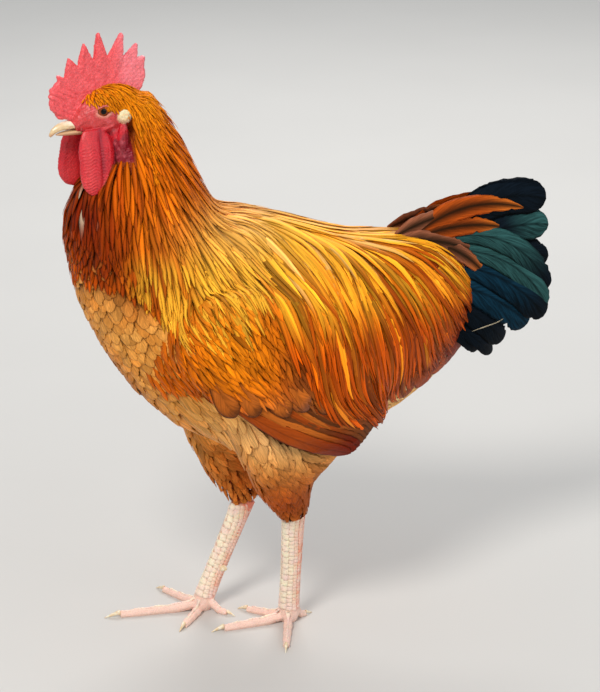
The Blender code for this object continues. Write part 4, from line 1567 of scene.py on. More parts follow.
@dataclass
class Tract:
    """A field of like feathers. Each kind says where it grows and how long its feathers are."""

    name: str = ""
    slot: str = ""
    homes: tuple[str, ...] = ()
    spacing: float = 5 * MM
    half_width: float = 3 * MM
    length: float = 25 * MM
    vane: Vane = Vane(Outline.ROUND, 8)
    finish: PlumageFinish = PlumageFinish("plumage")
    grounds: tuple[Tone, Tone] = (Tone.AMBER, Tone.GOLD)
    sink: float = 4 * MM
    rise: float = 1.0 * MM
    base: float = 0.0           # extra height all along, over the coat's form
    drift: float = 0.12         # radians that a feather may turn from the lie
    roll: float = 0.05
    uneven: float = 0.12        # spread of brightness from feather to feather
    # painted shade: how much darker a feather is at its root, where it lies under others
    root_painted_shade: float = 0.8
    tip_shade: float = 1.1
    stiff: float = 0.45
    jitter: float = 0.35        # how unevenly the feathers are layered, as a share of the rise
    cling: float = 0.0          # how much sharper a bend a feather still follows
    conform: bool = False       # whether a wide vane bends with the form from edge to edge
    leave: float = 5 * MM       # how far a feather may part from the form where it doesn't follow a bend
    seed: int = 1

    def covers(self, places: Array) -> Array:
        """Say where feathers of this tract have their roots."""
        return np.ones(len(places), bool)

    def lengths(self, places: Array) -> Array:
        """Return the length of a feather rooted at each place."""
        return np.full(len(places), self.length)

    def scale(self, places: Array) -> Array:
        """Return the share of the half width for a feather rooted at each place."""
        return np.ones(len(places))

    def roots(self, form: Surface, rng: np.random.Generator) -> Array:
        """Scatter the roots evenly over the tract.

        Args:
            form: the coat's form.
            rng: the source of chance.

        Returns:
            One place for each feather.
        """
        faces = np.flatnonzero(form.owned(form.labels, self.homes))
        faces = faces[self.covers(form.middles[faces])]
        areas = form.areas[faces]
        tries = int(6 * areas.sum() / self.spacing ** 2) + 8
        chosen = rng.choice(faces, tries, p=areas / areas.sum())
        mix = rng.dirichlet((1, 1, 1), tries)
        places = np.einsum("ij,ijk->ik", mix, form.sheet.points[form.sheet.triangles[chosen]])
        tree = KDTree(tries)
        for k, place in enumerate(places.tolist()):
            tree.insert(place, k)
        tree.balance()
        free = np.ones(tries, bool)
        kept = []
        for k, place in enumerate(places.tolist()):
            if free[k]:
                kept.append(k)
                free[[other for _, other, _ in tree.find_range(place, self.spacing)]] = False
        return places[kept]

    def follow(self, coat: Coat, starts: Array, lengths: Array, drift: Array) -> tuple[Array, ...]:
        """Lead each feather's middle line along the form.

        Args:
            coat: what the feathers grow on.
            starts: the roots.
            lengths: the length of each feather.
            drift: the angle by which each leaves the lie.

        Returns:
            Places, directions and normals, feather by row by axis.
        """
        here, ahead, up = starts, None, None
        rows = []
        for step in np.diff(self.vane.shares(), append=1.0):
            near, normal, _ = coat.form.nearest(here)
            up = normal if up is None else up
            hold = ease(0.90 - self.cling, 0.70 - self.cling, dot(normal, up))[:, None]
            up = unit(normal * (1 - 0.95 * hold) + up * 0.95 * hold)
            away = (here - near) * hold
            far = np.maximum(np.linalg.norm(away, axis=1), MM)[:, None]
            here = near + away * np.minimum(1, self.leave / far)
            flow = coat.lie.flow(here, up)
            flow = unit(flow * np.cos(drift)[:, None] + np.cross(up, flow) * np.sin(drift)[:, None])
            if ahead is not None:
                flow = ahead * self.stiff + flow * (1 - self.stiff)
            ahead = unit(flow - dot(flow, up)[:, None] * up)
            rows.append((here, ahead, up))
            here = here + ahead * (lengths * step)[:, None]
        return tuple(np.stack(kind, 1) for kind in zip(*rows))

    def grow(self, coat: Coat) -> Sheet:
        """Grow the whole tract.

        Args:
            coat: what the feathers grow on.

        Returns:
            Every feather of the tract.
        """
        rng = np.random.default_rng(self.seed)
        starts = self.roots(coat.form, rng)
        count = len(starts)
        lengths = self.lengths(starts) * rng.uniform(0.86, 1.12, count)
        lines = self.follow(coat, starts, lengths, rng.normal(0, self.drift, count))
        if "wing_left" not in self.homes:
            ends = coat.form.labels[coat.form.nearest(lines[0][:, -1])[2]]
            kept = (starts[:, 2] > 0.30) | ~coat.form.owned(ends, ("wing_left", "wing_right"))
            LOG.info("%s: %d of %d feathers kept off the wings", self.name, count - kept.sum(), count)
            starts, *lines = (rows[kept] for rows in (starts, *lines))
        return self.clothe(coat, starts, lines, rng)

    def clothe(self, coat: Coat, starts: Array, lines: Sequence[Array], rng: np.random.Generator) -> Sheet:
        """Turn middle lines into coloured feathers.

        Args:
            coat: what the feathers grow on.
            starts: the roots.
            lines: places, directions and normals on the form, feather by row by axis.
            rng: the source of chance.

        Returns:
            The feathers.
        """
        spots, heads, outs = lines
        count, share = len(starts), self.vane.shares()[None, :, None]
        layer = rng.uniform(-self.jitter, self.jitter, (count, 1, 1)) * self.rise
        height = self.base - self.sink * (1 - share) ** 2 + self.rise * share + layer * ease(0, 0.35, share)
        sides = unit(np.cross(outs, heads))
        roll = rng.normal(0, self.roll, count)
        turn, lift = np.cos(roll)[:, None, None], np.sin(roll)[:, None, None]
        seeds = rng.uniform(0, 1, count)
        widths = self.half_width * self.scale(starts) * rng.uniform(0.85, 1.15, count)
        sheet = self.vane.build(spots + outs * height, sides * turn - outs * lift, outs * turn + sides * lift,
                                widths, seeds, coat.unwrap.lay(starts))
        if self.conform:
            level = np.repeat(height[:, :-1, 0], self.vane.columns, axis=1)
            self.bend(sheet, coat.form, np.concatenate([level, height[:, -1]], 1).reshape(-1))
        size = self.vane.size
        mix = np.repeat(rng.uniform(0, 1, count), size)[:, None]
        ground = self.grounds[0].rgb * (1 - mix) + self.grounds[1].rgb * mix
        tint = coat.markings.tint(sheet.points, ground)
        lock = 1 + 0.10 * ripple(starts, 26 * MM, self.seed) + 0.08 * ripple(starts, 11 * MM, self.seed + 50)
        bright = np.repeat(np.clip(rng.normal(1, self.uneven, count), 0.5, 1.5) * lock, size)
        along = ease(0.1, 0.85, sheet.values["vane"][:, 1])
        # painted shade at the root, brightening towards the tip
        bright = bright * (self.root_painted_shade + (self.tip_shade - self.root_painted_shade) * along)
        sheet.values["tint"] = self.recolour(tint, sheet, np.repeat(seeds, size)) * bright[:, None]
        return sheet

    def bend(self, sheet: Sheet, form: Surface, height: Array) -> None:
        """Bend wide vanes so that their edges follow the form.

        Args:
            sheet: the feathers, still straight across.
            form: the coat's form.
            height: the height over the form that each point should have at its feather's middle.
        """
        across = sheet.values["vane"][:, 0]
        near, normals, _ = form.nearest(sheet.points)
        gap = dot(sheet.points - near, normals)
        wanted = height + (self.vane.camber * self.half_width * (1 - across ** 2) + self.vane.body)
        hold = ease(6 * MM, 2 * MM, gap - wanted) * ease(0.3, 0.8, np.abs(across))
        sheet.points = sheet.points + normals * ((wanted - gap) * hold)[:, None]

    def recolour(self, tint: Array, sheet: Sheet, seeds: Array) -> Array:
        """Change the tints of a special kind of feather, by its points and their seeds; most keep them."""
        return tint

    def build(self, coat: Coat) -> list[Piece]:
        """Grow the tract and part it by side.

        Args:
            coat: what the feathers grow on.

        Returns:
            The left piece and the right piece.
        """
        sheet, material = self.grow(coat), self.finish.make()
        left = sheet.points[::self.vane.size, 1] < 0
        return [halved(sheet, mine).make(f"{self.name}_{side}", material, self.slot)
                for side, mine in (("left", left), ("right", ~left))]


def halved(sheet: Sheet, mine: Array) -> Sheet:
    """Keep some feathers of a sheet, whose feathers are all numbered alike.

    Args:
        sheet: the feathers.
        mine: whether each feather is kept.

    Returns:
        The kept feathers.
    """
    count, kept = len(mine), mine.sum()
    keep = np.repeat(mine, len(sheet.points) // count)
    quads, triangles = (faces[:len(faces) // count * kept] for faces in (sheet.quads, sheet.triangles))
    return Sheet(sheet.points[keep], quads, triangles, {k: rows[keep] for k, rows in sheet.values.items()},
                 sheet.patch[keep])


def saddle_end(heights: Array) -> Array:
    """Return how far back the saddle's feathers reach at some heights."""
    return 0.077 + 0.833 * (heights - 0.245)


@dataclass
class Crown(Tract):
    """The small feathers from the brow over the crown to the nape."""

    name: str = "crown_feathers"
    slot: str = "golden_plumage"
    homes: tuple[str, ...] = ("head", "neck")
    spacing: float = 1.9 * MM
    half_width: float = 1.7 * MM
    vane: Vane = Vane(Outline.LANCE, 7, fray=0.2)
    finish: PlumageFinish = PlumageFinish(
        "crown_plumage", barbs=0.22, fineness=2.0, length_scale=0.6, rim=1.1)
    grounds: tuple[Tone, Tone] = (Tone.AMBER, Tone.GOLD)
    sink: float = 1.2 * MM
    rise: float = 0.9 * MM
    drift: float = 0.08
    uneven: float = 0.10
    cling: float = 0.5
    base: float = 0.9 * MM
    seed: int = 11
    # the lower edge of the feathers, along and up in head places
    LINE = ((-18, -5, 8, 16, 27, 27.5, 28, 44), (14.0, 11.5, 10.5, 9.5, 5.5, -8.0, -60.0, -60.0))

    def covers(self, places: Array) -> Array:
        """Grow above a line from the brow over the eye to the ear lobe, and down behind the lappet."""
        x, _, z = HEAD.local(places).T
        return (z > np.interp(x, *self.LINE)) & (x > -17.5) & (x < 46) & ((z > -24) | (x < 37) & (z > -50))

    def lengths(self, places: Array) -> Array:
        """Grow from 8 mm at the brow to 24 mm on the nape."""
        x, _, z = HEAD.local(places).T
        return (8 + 16 * ease(-12, 30, x - 0.5 * z + 8)) * MM


@dataclass
class Hackle(Tract):
    """The long pointed feathers of the neck, which hang over the shoulders."""

    name: str = "hackle"
    slot: str = "hackle"
    homes: tuple[str, ...] = ("neck",)
    spacing: float = 4.6 * MM
    half_width: float = 3.8 * MM
    vane: Vane = Vane(Outline.LANCE, 13, camber=0.05, fray=0.12)
    finish: PlumageFinish = PlumageFinish(
        "hackle_plumage", barbs=0.20, fineness=1.5, length_scale=0.4, painted_sheen=0.10)
    grounds: tuple[Tone, Tone] = (Tone.ORANGE_BROWN, Tone.AMBER)
    rise: float = 1.2 * MM
    drift: float = 0.06
    uneven: float = 0.11
    root_painted_shade: float = 1.0
    cling: float = 0.3
    base: float = 2.0 * MM
    jitter: float = 0.45
    roll: float = 0.03
    sink: float = 5 * MM
    seed: int = 12
    # the height at which the feathers end, along the body
    HEM = ((-0.240, -0.215, -0.190, -0.160, -0.140, -0.120), (0.430, 0.415, 0.386, 0.344, 0.300, 0.200))

    def covers(self, places: Array) -> Array:
        """Grow all over the neck but beside the lappets."""
        x, _, z = HEAD.local(places).T
        return ~((x < 23.5) & (z > -46 + 3 * ripple(places / MM, 9.0, 61)))

    def lengths(self, places: Array) -> Array:
        """Grow longer from the head down to the shoulders, but not past the hem.

        Args:
            places: the roots.

        Returns:
            The length of each feather.
        """
        low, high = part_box("neck")
        x, _, z = places.T
        share = np.clip((high.z - z) / (high.z - low.z), 0, 1)
        reach = 24 + 52 * ease(0.0, 0.75, share) + 26 * ease(-0.16, -0.11, x)
        reach -= 16 * ease(-0.205, -0.235, x) * share
        return np.clip(z - np.interp(x, *self.HEM), 22 * MM, np.maximum(reach, 22) * MM)

    def recolour(self, tint: Array, sheet: Sheet, seeds: Array) -> Array:
        """Gild the ends over the shoulders, and paint cream glints, a painted highlight, on a few feathers at
        the throat.

        Args:
            tint: the colours so far.
            sheet: the feathers.
            seeds: the number of each point's feather.

        Returns:
            The new colours.
        """
        x, _, z = sheet.points.T
        low = ease(0.43, 0.39, z) * ease(-0.205, -0.17, x) * ease(0.35, 0.8, sheet.values["vane"][:, 1])
        # painted highlight: cream glints on a few feathers at the throat
        glint = 0.8 * hill(x, -0.232, 0.010) * hill(z, 0.462, 0.016) * (seeds > 0.88)
        warm = 1 - ease(-0.18, -0.20, x)[:, None] * [0, 0.16, 0.4]
        return mixed(mixed(tint, Tone.BRIGHT_GOLD, 0.75 * low * (seeds > 0.25)) * warm, Tone.CREAM, glint)

    def scale(self, places: Array) -> Array:
        """Narrow the feathers close to the head."""
        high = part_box("neck")[1].z
        return 0.55 + 0.45 * ease(high, high - 0.09, places[:, 2])


@dataclass
class Breast(Tract):
    """The rounded feathers of the breast, which lie like scales."""

    name: str = "breast_feathers"
    slot: str = "buff_plumage"
    homes: tuple[str, ...] = ("trunk", "neck")
    spacing: float = 7.4 * MM
    half_width: float = 9 * MM
    vane: Vane = Vane(Outline.ROUND, 16, 7, camber=0.05, body=0.12 * MM, fray=0.3)
    finish: PlumageFinish = PlumageFinish(
        "breast_plumage", barbs=0.30, fineness=1.3, length_scale=5.0, slant=0.7, rim=1.1,
        rim_from=0.6, shaft=1.1)
    grounds: tuple[Tone, Tone] = (Tone.TAN, Tone.BUFF)
    rise: float = 1.9 * MM
    drift: float = 0.10
    uneven: float = 0.10
    tip_shade: float = 1.16
    roll: float = 0.02
    jitter: float = 0.08
    conform: bool = True
    seed: int = 13

    def covers(self, places: Array) -> Array:
        """Grow on the front and lower part of the trunk.

        Args:
            places: places on the form.

        Returns:
            Whether a feather may have its root there.
        """
        x, y, z = places.T
        shoulder = (np.abs(y) > 0.05) & (z > 0.325) & (x > -0.150)
        return (x < -0.02 - 0.9 * (z - 0.30)) & (z < 0.39 + 0.045 * ease(-0.19, -0.22, x)) & ~shoulder

    def lengths(self, places: Array) -> Array:
        """Grow from 30 mm in front to 64 mm at the flank."""
        return (30 + 34 * ease(-0.17, -0.11, places[:, 0])) * MM

    def scale(self, places: Array) -> Array:
        """Broaden the feathers towards the flank."""
        return 0.85 + 0.25 * ease(-0.2, -0.1, places[:, 0])


@dataclass
class Flank(Tract):
    """The long rounded feathers that stream back from the breast, under the wing and over the thigh."""

    name: str = "flank_feathers"
    slot: str = "buff_plumage"
    homes: tuple[str, ...] = ("trunk",)
    spacing: float = 9.0 * MM
    half_width: float = 7.0 * MM
    length: float = 58 * MM
    vane: Vane = Vane(Outline.OAR, 20, 9, camber=0.08, body=0.15 * MM, ridge=0.3 * MM, fray=0.35)
    finish: PlumageFinish = PlumageFinish(
        "flank_plumage", barbs=0.40, fineness=1.2, length_scale=6.0, slant=0.9, rim=1.25,
        rim_from=0.5, shaft=1.2)
    grounds: tuple[Tone, Tone] = (Tone.TAN, Tone.BUFF)
    rise: float = 3.2 * MM
    base: float = 0.6 * MM
    drift: float = 0.10
    uneven: float = 0.10
    root_painted_shade: float = 0.7
    jitter: float = 0.15
    conform: bool = True
    seed: int = 20

    def covers(self, places: Array) -> Array:
        """Grow along the flank in front of the thigh.

        Args:
            places: places on the form.

        Returns:
            Whether a feather may have its root there.
        """
        x, y, z = places.T
        level = 0.272 - 0.6 * (x + 0.13)
        return (np.abs(y) > 0.04) & (np.abs(x + 0.135) < 0.03) & (np.abs(z - level) < 0.024)


@dataclass
class Belly(Tract):
    """The soft pale plumes of the belly and vent."""

    name: str = "belly_plumes"
    slot: str = "buff_plumage"
    homes: tuple[str, ...] = ("trunk",)
    spacing: float = 6.2 * MM
    half_width: float = 6.0 * MM
    length: float = 32 * MM
    vane: Vane = Vane(Outline.PLUME, 12, 5, camber=0.05, body=0.1 * MM, fray=0.5)
    finish: PlumageFinish = PlumageFinish(
        "down_plumage", barbs=0.26, fineness=2.0, length_scale=5.0, slant=0.5, rim=1.1,
        roughness=0.7)
    grounds: tuple[Tone, Tone] = (Tone.BUFF, Tone.PALE_BUFF)
    rise: float = 1.8 * MM
    drift: float = 0.13
    jitter: float = 0.15
    conform: bool = True
    cling: float = 0.1
    seed: int = 14

    def covers(self, places: Array) -> Array:
        """Grow under and behind the thighs, up to the root of the tail."""
        x, z = places[:, 0], places[:, 2]
        return (x >= -0.03 - 0.9 * (z - 0.30)) & (z < 0.245 + 0.42 * np.maximum(x, 0))


@dataclass
class Cape(Tract):
    """The feathers between the shoulders, under the hackle's ends."""

    name: str = "cape"
    slot: str = "golden_plumage"
    homes: tuple[str, ...] = ("trunk", "wing_left", "wing_right")
    spacing: float = 6.2 * MM
    half_width: float = 4.6 * MM
    length: float = 46 * MM
    vane: Vane = Vane(Outline.LANCE, 12, 5, camber=0.05, fray=0.3)
    finish: PlumageFinish = PlumageFinish(
        "cape_plumage", barbs=0.30, fineness=2.0, length_scale=0.7, rim=1.05, painted_sheen=0.12)
    grounds: tuple[Tone, Tone] = (Tone.AMBER, Tone.BRIGHT_GOLD)
    uneven: float = 0.18
    jitter: float = 0.8
    roll: float = 0.03
    seed: int = 15

    def covers(self, places: Array) -> Array:
        """Grow on the back from the neck to the saddle."""
        x, z = places[:, 0], places[:, 2]
        return (x < -0.03) & (z > 0.352) & (x > -0.02 - 0.9 * (z - 0.25))

    def recolour(self, tint: Array, sheet: Sheet, seeds: Array) -> Array:
        """Paint a few of the feathers pale, as painted highlights on the back."""
        # painted highlight: a few pale feathers on the back
        return mixed(tint, Tone.PALE_BUFF, 0.45 * (seeds > 0.93))


@dataclass
class Saddle(Tract):
    """The long pointed feathers that fall from the back over the wings."""

    name: str = "saddle_hackle"
    slot: str = "golden_plumage"
    homes: tuple[str, ...] = ("trunk", "wing_left", "wing_right")
    spacing: float = 4.7 * MM
    half_width: float = 4.2 * MM
    vane: Vane = Vane(Outline.LANCE, 16, 5, camber=0.06, fray=0.15)
    finish: PlumageFinish = PlumageFinish(
        "saddle_plumage", barbs=0.34, fineness=1.4, length_scale=0.4, rim=0.8, rim_from=0.75,
        painted_sheen=0.26)
    grounds: tuple[Tone, Tone] = (Tone.ORANGE_BROWN, Tone.BRIGHT_GOLD)
    sink: float = 3 * MM
    rise: float = 1.6 * MM
    base: float = 3.4 * MM
    drift: float = 0.08
    uneven: float = 0.24
    stiff: float = 0.6
    jitter: float = 0.8
    seed: int = 16

    # the lower edge of the roots, along and up
    FLOOR = ((-0.07, 0.0, 0.05, 0.08, 0.12, 0.16), (0.380, 0.345, 0.325, 0.325, 0.350, 0.390))

    def covers(self, places: Array) -> Array:
        """Grow on the rear half of the back, down to where the wings begin."""
        x, z = places[:, 0], places[:, 2]
        return (x > -0.07) & (z > np.interp(x, *self.FLOOR)) & (x < saddle_end(z) - 10 * MM)

    def lengths(self, places: Array) -> Array:
        """Grow so that the tips reach the middle of the wing, but not past the saddle's end.

        Args:
            places: the roots.

        Returns:
            The length of each feather.
        """
        x, _, z = places.T
        reach = 70 + 66 * ease(-0.09, -0.01, x) - 10 * ease(0.37, 0.34, z)
        return np.clip(saddle_end(z) - x, 24 * MM, reach * MM)

    def scale(self, places: Array) -> Array:
        """Narrow the feathers towards the tail."""
        return 1 - 0.22 * ease(0.0, 0.08, places[:, 0])

    def recolour(self, tint: Array, sheet: Sheet, seeds: Array) -> Array:
        """Paint a few feathers pale on the back as painted highlights, and deepen the lower ends of the
        others.

        Args:
            tint: the colours so far.
            sheet: the feathers.
            seeds: the number of each point's feather.

        Returns:
            The new colours.
        """
        x, _, z = sheet.points.T
        low = ease(0.375, 0.315, z)
        behind = ease(-0.006, 0.008, x - saddle_end(z)) * ease(0.37, 0.34, z)
        # the pale share is a painted highlight on the back
        shares = {
            Tone.PALE_BUFF: 0.5 * (seeds > 0.92) * ease(0.36, 0.39, z), Tone.AMBER: 0.6 * low,
            Tone.MAHOGANY: 0.7 * low * (seeds < 0.28), Tone.ORANGE_BROWN: 0.95 * low * (seeds > 0.36),
            Tone.CHESTNUT: 0.85 * behind}
        for tone, share in shares.items():
            tint = mixed(tint, tone, share)
        return tint * [1.04, 0.93, 0.6]


@dataclass
class Rump(Tract):
    """The broad dark feathers on the flanks below the tail."""

    name: str = "rump_coverts"
    slot: str = "wing_plumage"
    homes: tuple[str, ...] = ("trunk", "wing_left", "wing_right")
    spacing: float = 10 * MM
    half_width: float = 12 * MM
    vane: Vane = Vane(Outline.ROUND, 16, 7, camber=0.06, fray=0.3)
    finish: PlumageFinish = PlumageFinish(
        "rump_plumage", barbs=0.32, fineness=1.5, length_scale=8.0, slant=0.5, rim=1.15,
        rim_from=0.5, shaft=0.9)
    grounds: tuple[Tone, Tone] = (Tone.MAHOGANY, Tone.CHESTNUT)
    rise: float = 2.6 * MM
    drift: float = 0.15
    jitter: float = 0.10
    conform: bool = True
    seed: int = 17

    def covers(self, places: Array) -> Array:
        """Grow behind the wings, between the saddle and the belly."""
        x, z = places[:, 0], places[:, 2]
        return (x > 0.035) & (z >= 0.235 + 0.42 * np.maximum(x, 0)) & (z < 0.415)

    def lengths(self, places: Array) -> Array:
        """Grow 40 mm long, and shorter on the wings' tips."""
        return (40 - 14 * (np.abs(places[:, 1]) > 0.06)) * MM

    def recolour(self, tint: Array, sheet: Sheet, seeds: Array) -> Array:
        """Keep the feathers under the saddle's ends golden."""
        ahead = ease(0.007, -0.009, sheet.points[:, 0] - saddle_end(sheet.points[:, 2]))
        return mixed(tint, Tone.AMBER, 0.75 * ahead * (seeds > 0.15))


@dataclass
class WingBow(Tract):
    """The silky coverts of the wing's bow."""

    name: str = "wing_bow"
    slot: str = "golden_plumage"
    homes: tuple[str, ...] = ("wing_left", "wing_right", "trunk")
    spacing: float = 4.6 * MM
    half_width: float = 3.4 * MM
    vane: Vane = Vane(Outline.LANCE, 12, 5, camber=0.05, fray=0.3)
    finish: PlumageFinish = PlumageFinish(
        "bow_plumage", barbs=0.26, fineness=1.8, length_scale=0.8, slant=0.3, painted_sheen=0.12)
    grounds: tuple[Tone, Tone] = (Tone.ORANGE_BROWN, Tone.AMBER)
    drift: float = 0.13
    uneven: float = 0.16
    base: float = 2.4 * MM
    jitter: float = 0.6
    seed: int = 18

    def covers(self, places: Array) -> Array:
        """Grow on the wing above its bar."""
        x, y, z = places.T
        return (np.abs(y) > 0.045) & (z > 0.296) & (z < 0.385) & (x > -0.185 + 0.4 * (z - 0.3)) & (x < 0.03)

    def lengths(self, places: Array) -> Array:
        """Grow from 30 mm to 36 mm long."""
        return (30 + 6 * ease(0.34, 0.30, places[:, 2])) * MM

    def recolour(self, tint: Array, sheet: Sheet, seeds: Array) -> Array:
        """Darken the feathers under the saddle's ends, as painted shade."""
        x, _, z = sheet.points.T
        # painted shade: umber on the feathers under the saddle's ends
        return mixed(tint, Tone.UMBER, 0.75 * ease(-0.075, -0.035, x) * ease(0.35, 0.32, z))


@dataclass
class Thigh(Tract):
    """The soft feathers of the thighs, down to the hocks."""

    name: str = "thigh_feathers"
    slot: str = "buff_plumage"
    homes: tuple[str, ...] = ("thigh_left", "thigh_right")
    spacing: float = 6.5 * MM
    half_width: float = 7.5 * MM
    vane: Vane = Vane(Outline.PLUME, 14, 7, camber=0.04, body=0.1 * MM, fray=0.5)
    finish: PlumageFinish = PlumageFinish(
        "thigh_plumage", barbs=0.28, fineness=1.5, length_scale=5.0, slant=0.6, rim=1.12,
        rim_from=0.5, shaft=1.06, roughness=0.6)
    grounds: tuple[Tone, Tone] = (Tone.TAN, Tone.BUFF)
    rise: float = 1.6 * MM
    uneven: float = 0.10
    root_painted_shade: float = 0.85
    roll: float = 0.02
    jitter: float = 0.08
    conform: bool = True
    seed: int = 19

    def lengths(self, places: Array) -> Array:
        """Grow from 40 mm at the hip to 14 mm at the hock."""
        return (14 + 26 * ease(0.13, 0.20, places[:, 2])) * MM

    def scale(self, places: Array) -> Array:
        """Narrow the feathers towards the hock."""
        return 0.5 + 0.5 * ease(0.13, 0.19, places[:, 2])


@dataclass(frozen=True)
class Quill:
    """One large feather, laid from shares of the wing's box or in the tail's fan."""

    start: tuple[float, float]
    end: tuple[float, float]
    half_width: float
    layer: float
    tone: Tone
    tip: Tone
    bow: float = 0.0            # how far the middle line arches, as a share of the length

    def path(self, share: Array, over: Array) -> Array:
        """Trace the middle line, arched towards one side."""
        start, end = np.array(self.start), np.array(self.end)
        return start + (end - start) * share[:, None] + over * (self.bow * 4 * share * (1 - share))[:, None]


def laid(quills: Sequence[Quill], vane: Vane, spots: Array, outward: Array, rng: np.random.Generator,
         unwrap: Unwrap) -> Sheet:
    """Build feathers laid one by one, in their own tones.

    Args:
        quills: the feathers.
        vane: their mesh.
        spots: their middle lines, feather by row by axis.
        outward: the way that they face.
        rng: the source of chance.
        unwrap: the flat layout for the bake.

    Returns:
        The feathers as one sheet.
    """
    heads = unit(np.gradient(spots, axis=1))
    outs = unit(outward - dot(outward, heads)[..., None] * heads)
    widths = np.array([q.half_width for q in quills])
    seeds = rng.uniform(0, 1, len(quills))
    sheet = vane.build(spots, unit(np.cross(outs, heads)), outs, widths, seeds, unwrap.lay(spots[:, 0]))
    tone, tip = (np.repeat(np.array(rows), vane.size, axis=0)
                 for rows in ([q.tone.rgb for q in quills], [q.tip.rgb for q in quills]))
    bright = np.repeat(rng.normal(1, 0.08, len(quills)), vane.size)[:, None]
    fade = ease(0.55, 0.95, sheet.values["vane"][:, 1])[:, None]
    sheet.values["tint"] = (tone + (tip - tone) * fade) * bright
    return sheet


@dataclass
class WingQuills:
    """The greater coverts and the flight feathers of both wings, laid over the wing's side."""

    vane: Vane = Vane(Outline.OAR, 24, 9, camber=0.05, body=0.35 * MM, ridge=0.5 * MM, fray=0.06)
    cover_vane: Vane = Vane(Outline.ROUND, 14, 9, body=0.3 * MM, ridge=0.3 * MM, fray=0.10)
    flight: PlumageFinish = PlumageFinish(
        "flight_plumage", barbs=0.16, fineness=1.6, length_scale=14.0, slant=0.30, rim=0.45,
        rim_from=0.84, shaft=0.7)
    covert: PlumageFinish = PlumageFinish(
        "covert_plumage", barbs=0.26, fineness=1.4, length_scale=8.0, slant=0.5, rim=0.55,
        rim_from=0.6, shaft=0.8)
    secondaries: int = 10
    coverts: int = 6
    beside: float = 112 * MM        # how far out the wing is looked at from
    layer_step: float = 0.9 * MM

    def flights(self) -> list[Quill]:
        """Fan the flight feathers from the bar to the wing's tip, the lowest outermost.

        Returns:
            The quills.
        """
        quills = []
        for k in range(self.secondaries):
            share = k / (self.secondaries - 1)
            start = (0.20 + 0.42 * share, 0.36 + 0.06 * math.sin(math.pi * share))
            end = (0.82 + 0.14 * share ** 0.8, -0.11 + 0.20 * share)
            tone = (Tone.CHESTNUT, Tone.RUSSET, Tone.UMBER)[k % 3]
            tip = Tone.MAHOGANY if k < 3 else Tone.UMBER
            quills.append(Quill(start, end, (10.0 + 2.0 * share) * MM, 0.3 + 1.6 * share, tone, tip, 0.05))
        return quills

    def bars(self) -> list[Quill]:
        """Set the row of greater coverts.

        Returns:
            The quills.
        """
        quills = []
        for k in range(self.coverts):
            share = k / (self.coverts - 1)
            tip = (0.27 + 0.56 * share + 0.015 * math.sin(4.0 * k),
                   0.26 + 0.03 * math.sin(math.pi * share + 2.3 * k))
            start = (tip[0] - 0.12, tip[1] + 0.28)
            tone = Tone.UMBER if k < 3 else Tone.MAUVE_BROWN
            half_width = (11.5 + 1.2 * math.sin(3.0 * k)) * MM
            quills.append(Quill(start, tip, half_width, 1.9 + 0.12 * k, Tone.RUSSET, tone, 0.06))
        return quills

    def lay(self, quills: Sequence[Quill], vane: Vane, side: str, coat: Coat,
            rng: np.random.Generator) -> Sheet:
        """Lay quills on one wing.

        Args:
            quills: the feathers.
            vane: their mesh.
            side: which wing.
            coat: what they lie on.
            rng: the source of chance.

        Returns:
            The feathers as one sheet.
        """
        low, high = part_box(f"wing_{side}")
        sign, share = SIGNS[side], vane.shares()
        paths = np.stack([quill.path(share, np.array([0, -1])) for quill in quills])
        x, z = low.x + paths[..., 0] * (high.x - low.x), low.z + paths[..., 1] * (high.z - low.z)
        spots = np.stack([x, np.full(x.shape, sign * self.beside), z], -1)
        near, normals, _ = coat.form.nearest(spots.reshape(-1, 3))
        layer = np.array([q.layer for q in quills])[:, None] * self.layer_step
        tuck = 4.0 * (1 - share) ** 3 + 7.0 * ease(0.0, 1.0, (x - high.x + 0.035) / 0.035)
        spots[..., 1] = near[:, 1].reshape(x.shape)
        spots[..., 1] += sign * (0.3 * MM + layer - tuck * MM)
        outward = unit(normals.reshape(spots.shape) * [0.25, 1, 0.5])
        sheet = laid(quills, vane, spots, outward, rng, coat.unwrap)
        self.press(sheet, vane, coat.form, sign)
        return sheet

    def press(self, sheet: Sheet, vane: Vane, form: Surface, sign: float) -> None:
        """Press the vanes' edges on to the wing.

        Args:
            sheet: the feathers, still straight across.
            vane: their mesh.
            form: the coat's form.
            sign: -1 on the left, 1 on the right.
        """
        grid = sheet.points.reshape(-1, vane.size, 3)
        shafts = np.repeat(grid[:, vane.columns // 2:-1:vane.columns], vane.columns, axis=1)
        shafts = np.concatenate([shafts, grid[:, -1:]], 1).reshape(-1, 3)
        here, there = (form.nearest(rows * [1, 0, 1] + [0, sign * self.beside, 0])[0][:, 1]
                       for rows in (sheet.points, shafts))
        sheet.points[:, 1] += 0.8 * sign * np.clip(sign * (here - there), -6 * MM, 3 * MM)

    def build(self, coat: Coat) -> list[Piece]:
        """Make the flight feathers and the coverts of both wings.

        Args:
            coat: what they lie on.

        Returns:
            Two pieces for each wing.
        """
        rng = np.random.default_rng(31)
        rows = (("flight_feathers", self.flights(), self.vane, self.flight.make()),
                ("wing_coverts", self.bars(), self.cover_vane, self.covert.make()))
        return [self.lay(quills, vane, side, coat, rng).make(f"{name}_{side}", material, "wing_plumage")
                for side in SIDES for name, quills, vane, material in rows]


